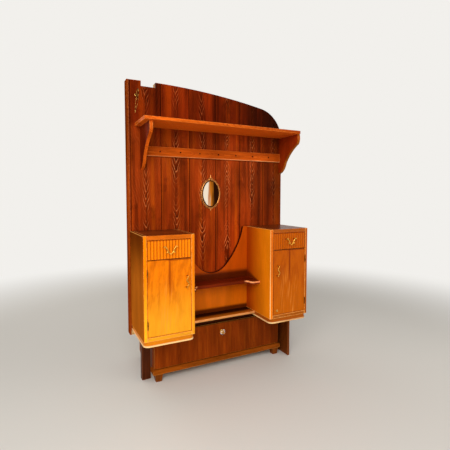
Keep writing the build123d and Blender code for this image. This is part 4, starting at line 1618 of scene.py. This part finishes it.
class MakePulls(bpy.types.Operator):
    """Cast pulls of the doors and small drawers, and the hinges."""

    bl_idname = "wagon_partition.make_pulls"
    bl_label = "Make pulls"

    def execute(self, context):
        fittings = settings_of(context).fittings
        bronze = gilt("cast pull bronze", fittings, 1.2, 0.36, fittings.bronze)
        brass = gilt("hinge brass", fittings, 0.3, 0.5, fittings.hinge)
        for side in SIDES:
            self.bow(side, bronze)
            self.wave(side, bronze)
            self.hinges(side, brass)
        return {"FINISHED"}

    def hold(self, form, place, wood, r):
        """A turned post that starts a millimetre inside the wood and ends in the pull."""
        back = wood + 1 * MM
        height = back - place.y
        profile = [(0, r * 1.7), (height * 0.2, r * 1.5), (height * 0.45, r * 0.75), (height, r * 0.9)]
        form.turned(profile, (place.x, back, place.z), TO_ROOM, 14)

    def bow(self, side, metal):
        """The winged bow pull: two arms that rise from a leafy middle to ball tips."""
        node = f"{side}_drawer_pull"
        low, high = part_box(node)
        middle = (low + high) / 2
        y = low.y + 4.4 * MM
        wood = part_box(f"{side}_drawer_front")[0].y
        half_w, half_h = (half - 3.5 * MM for half in half_sizes((low, high)))
        # Share of the half width and of the half height, from the tip to the middle
        arm = ((1.0, 0.82), (0.86, 1.0), (0.66, 0.62), (0.46, 0.12), (0.24, -0.5), (0.0, -0.86))
        form = Form()
        for hand in (-1, 1):
            def at(u, v):
                return Vector((middle.x + hand * u * half_w, y, middle.z + v * half_h))

            path = smooth_path([at(u, v) for u, v in arm], 7)
            form.tube(path, lambda t: (2.4 + 1.9 * math.sin(math.pi * min(1, t * 1.1)) ** 2) * MM)
            form.ball(path[0], 4.0 * MM, 12)
            self.hold(form, at(0.80, 0.8), wood, 3.0 * MM)
            root = at(0.30, -0.45)
            for turn in (0.35, 0.85):
                heading = math.pi / 2 - hand * turn
                leaf = scroll((root.x, root.z), heading, 13 * MM, 0.35, -hand, y - 1 * MM, 12)
                form.tube(leaf, lambda t: (2.2 * math.sin(math.pi * (0.15 + 0.8 * t)) + 0.3) * MM, 8)
        form.ball(Vector((middle.x, y, middle.z - 0.78 * half_h)), 4.3 * MM, 14)
        form.piece(f"{side}_bow_pull", metal, f"{side}_drawer", [node])

    def wave(self, side, metal):
        """The upright pull: a slim wave that swells in the middle, with ball ends."""
        node = f"{side}_door_pull"
        low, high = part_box(node)
        middle = (low + high) / 2
        y = low.y + 4.0 * MM
        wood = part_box(f"{side}_door")[0].y
        half_h = half_sizes((low, high))[1] - 4 * MM
        swing = 8.5 * MM
        # Share of the swing and of the half height, from the upper end to the middle
        upper = ((0.5, 1.0), (0.2, 0.78), (-0.95, 0.35))
        lower = tuple((-u, -v) for u, v in reversed(upper))
        shares = (*upper, (0.0, 0.0), *lower)
        path = smooth_path([Vector((middle.x + u * swing, y, middle.z + v * half_h)) for u, v in shares], 6)
        form = Form()
        form.tube(path, lambda t: (1.8 + 2.1 * math.sin(math.pi * t) ** 2) * MM)
        for end in (path[0], path[-1]):
            form.ball(end, 3.6 * MM, 12)
            self.hold(form, end, wood, 2.8 * MM)
        form.piece(f"{side}_wave_pull", metal, f"{side}_door", [node])

    def hinges(self, side, metal):
        """The metal of the hinge barrels, and their finials and joint lines."""
        node = f"{side}_hinges"
        dress(node, metal)
        low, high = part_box(node)
        x = low.x + HINGE_BARREL if side == "left" else high.x - HINGE_BARREL
        y = low.y + HINGE_BARREL
        tip = in_mm((0, 2.6), (1.2, 3.4), (2.6, 2.2), (3.4, 0.4))
        collar = in_mm((-0.7, 3.7), (0, 4.3), (0.7, 3.7))
        knuckles = 5
        form = Form()
        for bottom in (low.z, high.z - HINGE_LENGTH):
            form.turned(tip, (x, y, bottom), DOWN, 12)
            form.turned(tip, (x, y, bottom + HINGE_LENGTH), UP, 12)
            for k in range(1, knuckles):
                form.turned(collar, (x, y, bottom + HINGE_LENGTH * k / knuckles), UP, 16)
        form.piece(f"{side}_hinge_tips", metal, f"{side}_door")


class MakeKnob(bpy.types.Operator):
    """Cut-glass knob on a brass rose, and the small catch on the right door."""

    bl_idname = "wagon_partition.make_knob"
    bl_label = "Make glass knob"

    def execute(self, context):
        fittings = settings_of(context).fittings
        low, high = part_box("base_drawer_knob")
        middle = (low + high) / 2
        self.glass(fittings, low, high)
        brass = gilt("rose brass", fittings, 0.7)
        rose = Form()
        base = ((0, 13), (1.5, 13), (2.6, 11.4), (3.6, 8.4))
        neck = ((7, 7.2), (12, 7.6), (14.5, 9), (15.5, 9))
        rose.turned(in_mm(*base, *neck), (middle.x, high.y, middle.z), TO_ROOM, 28)
        rose.piece("knob_rose", brass, "base_drawer")
        self.catch(brass)
        return {"FINISHED"}

    def glass(self, fittings, low, high):
        """The knob's glass, cut in rows of facets from the rose to the table."""
        made, nt = new_material("cut glass")
        nt.finish(
            {
                "Base Color": fittings.glass,
                "Roughness": nt.product(nt.noise(nt.place(), 300.0), 0.06),
                "Transmission Weight": 1.0,
                "IOR": 1.5,
            }
        )
        middle = (low + high) / 2
        radius = half_sizes((low, high))[0]
        # Rows from the rose to the table: share of the depth, share of the radius, and whether
        # its arrises stand half a facet further round
        rows = (
            (0.40, 0.42, 0),
            (0.52, 0.72, 1),
            (0.62, 1.0, 0),
            (0.72, 1.0, 1),
            (0.86, 0.74, 0),
            (1.0, 0.40, 1),
        )
        between_arrises = 0.965
        loops = []
        for depth, out, odd in rows:
            y = high.y + (low.y - high.y) * depth
            loop = []
            for k, a in enumerate(full_turn(fittings.facets * 2)):
                r = radius * out * (between_arrises if (k + odd) % 2 else 1.0)
                loop.append(Vector((middle.x + r * math.cos(a), y, middle.z + r * math.sin(a))))
            loops.append(loop)
        form = Form()
        form.skin(loops)
        form.piece("knob_cut_glass", made, "base_drawer", ["base_drawer_knob"], crisp=3)

    def catch(self, metal):
        """A small turned catch low on the right door."""
        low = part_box("right_door")[0]
        place = (low.x + 31 * MM, low.y, low.z + 30 * MM)
        form = Form()
        form.turned(in_mm((-0.5, 7.5), (1.0, 7.5), (1.8, 6.2)), place, TO_ROOM, 20)
        form.turned(in_mm((0, 3.6), (5, 2.6), (8, 3.8), (11, 3.4), (12.5, 1.6)), place, TO_ROOM, 16)
        form.piece("right_door_catch", metal, "right_door")


class PARTITION_PT_panel(bpy.types.Panel):
    """Lists the steps that finish the part."""

    bl_label = "Partition"
    bl_idname = "PARTITION_PT_panel"
    bl_space_type = "VIEW_3D"
    bl_region_type = "UI"
    bl_category = "Partition"

    def draw(self, context):
        for step in STEPS:
            self.layout.operator(step.bl_idname)


SETTINGS = (
    StageSettings,
    BoardSettings,
    CarcaseSettings,
    RackSettings,
    DresserSettings,
    ChestSettings,
    FittingSettings,
    PartitionSettings,
)
STEPS = (
    SetStage,
    FinishBoards,
    FinishRack,
    FinishDresser,
    FinishChest,
    MakeMirror,
    MakePoleHook,
    MakePulls,
    MakeKnob,
)


def register():
    for cls in (*SETTINGS, *STEPS, PARTITION_PT_panel):
        bpy.utils.register_class(cls)
    bpy.types.Scene.wagon_partition = PointerProperty(type=PartitionSettings)


def unregister():
    del bpy.types.Scene.wagon_partition
    for cls in reversed((*SETTINGS, *STEPS, PARTITION_PT_panel)):
        bpy.utils.unregister_class(cls)


def main():
    """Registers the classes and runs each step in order."""
    register()
    for step in STEPS:
        group, name = step.bl_idname.split(".")
        getattr(getattr(bpy.ops, group), name)()


if __name__ == "__main__":
    main()
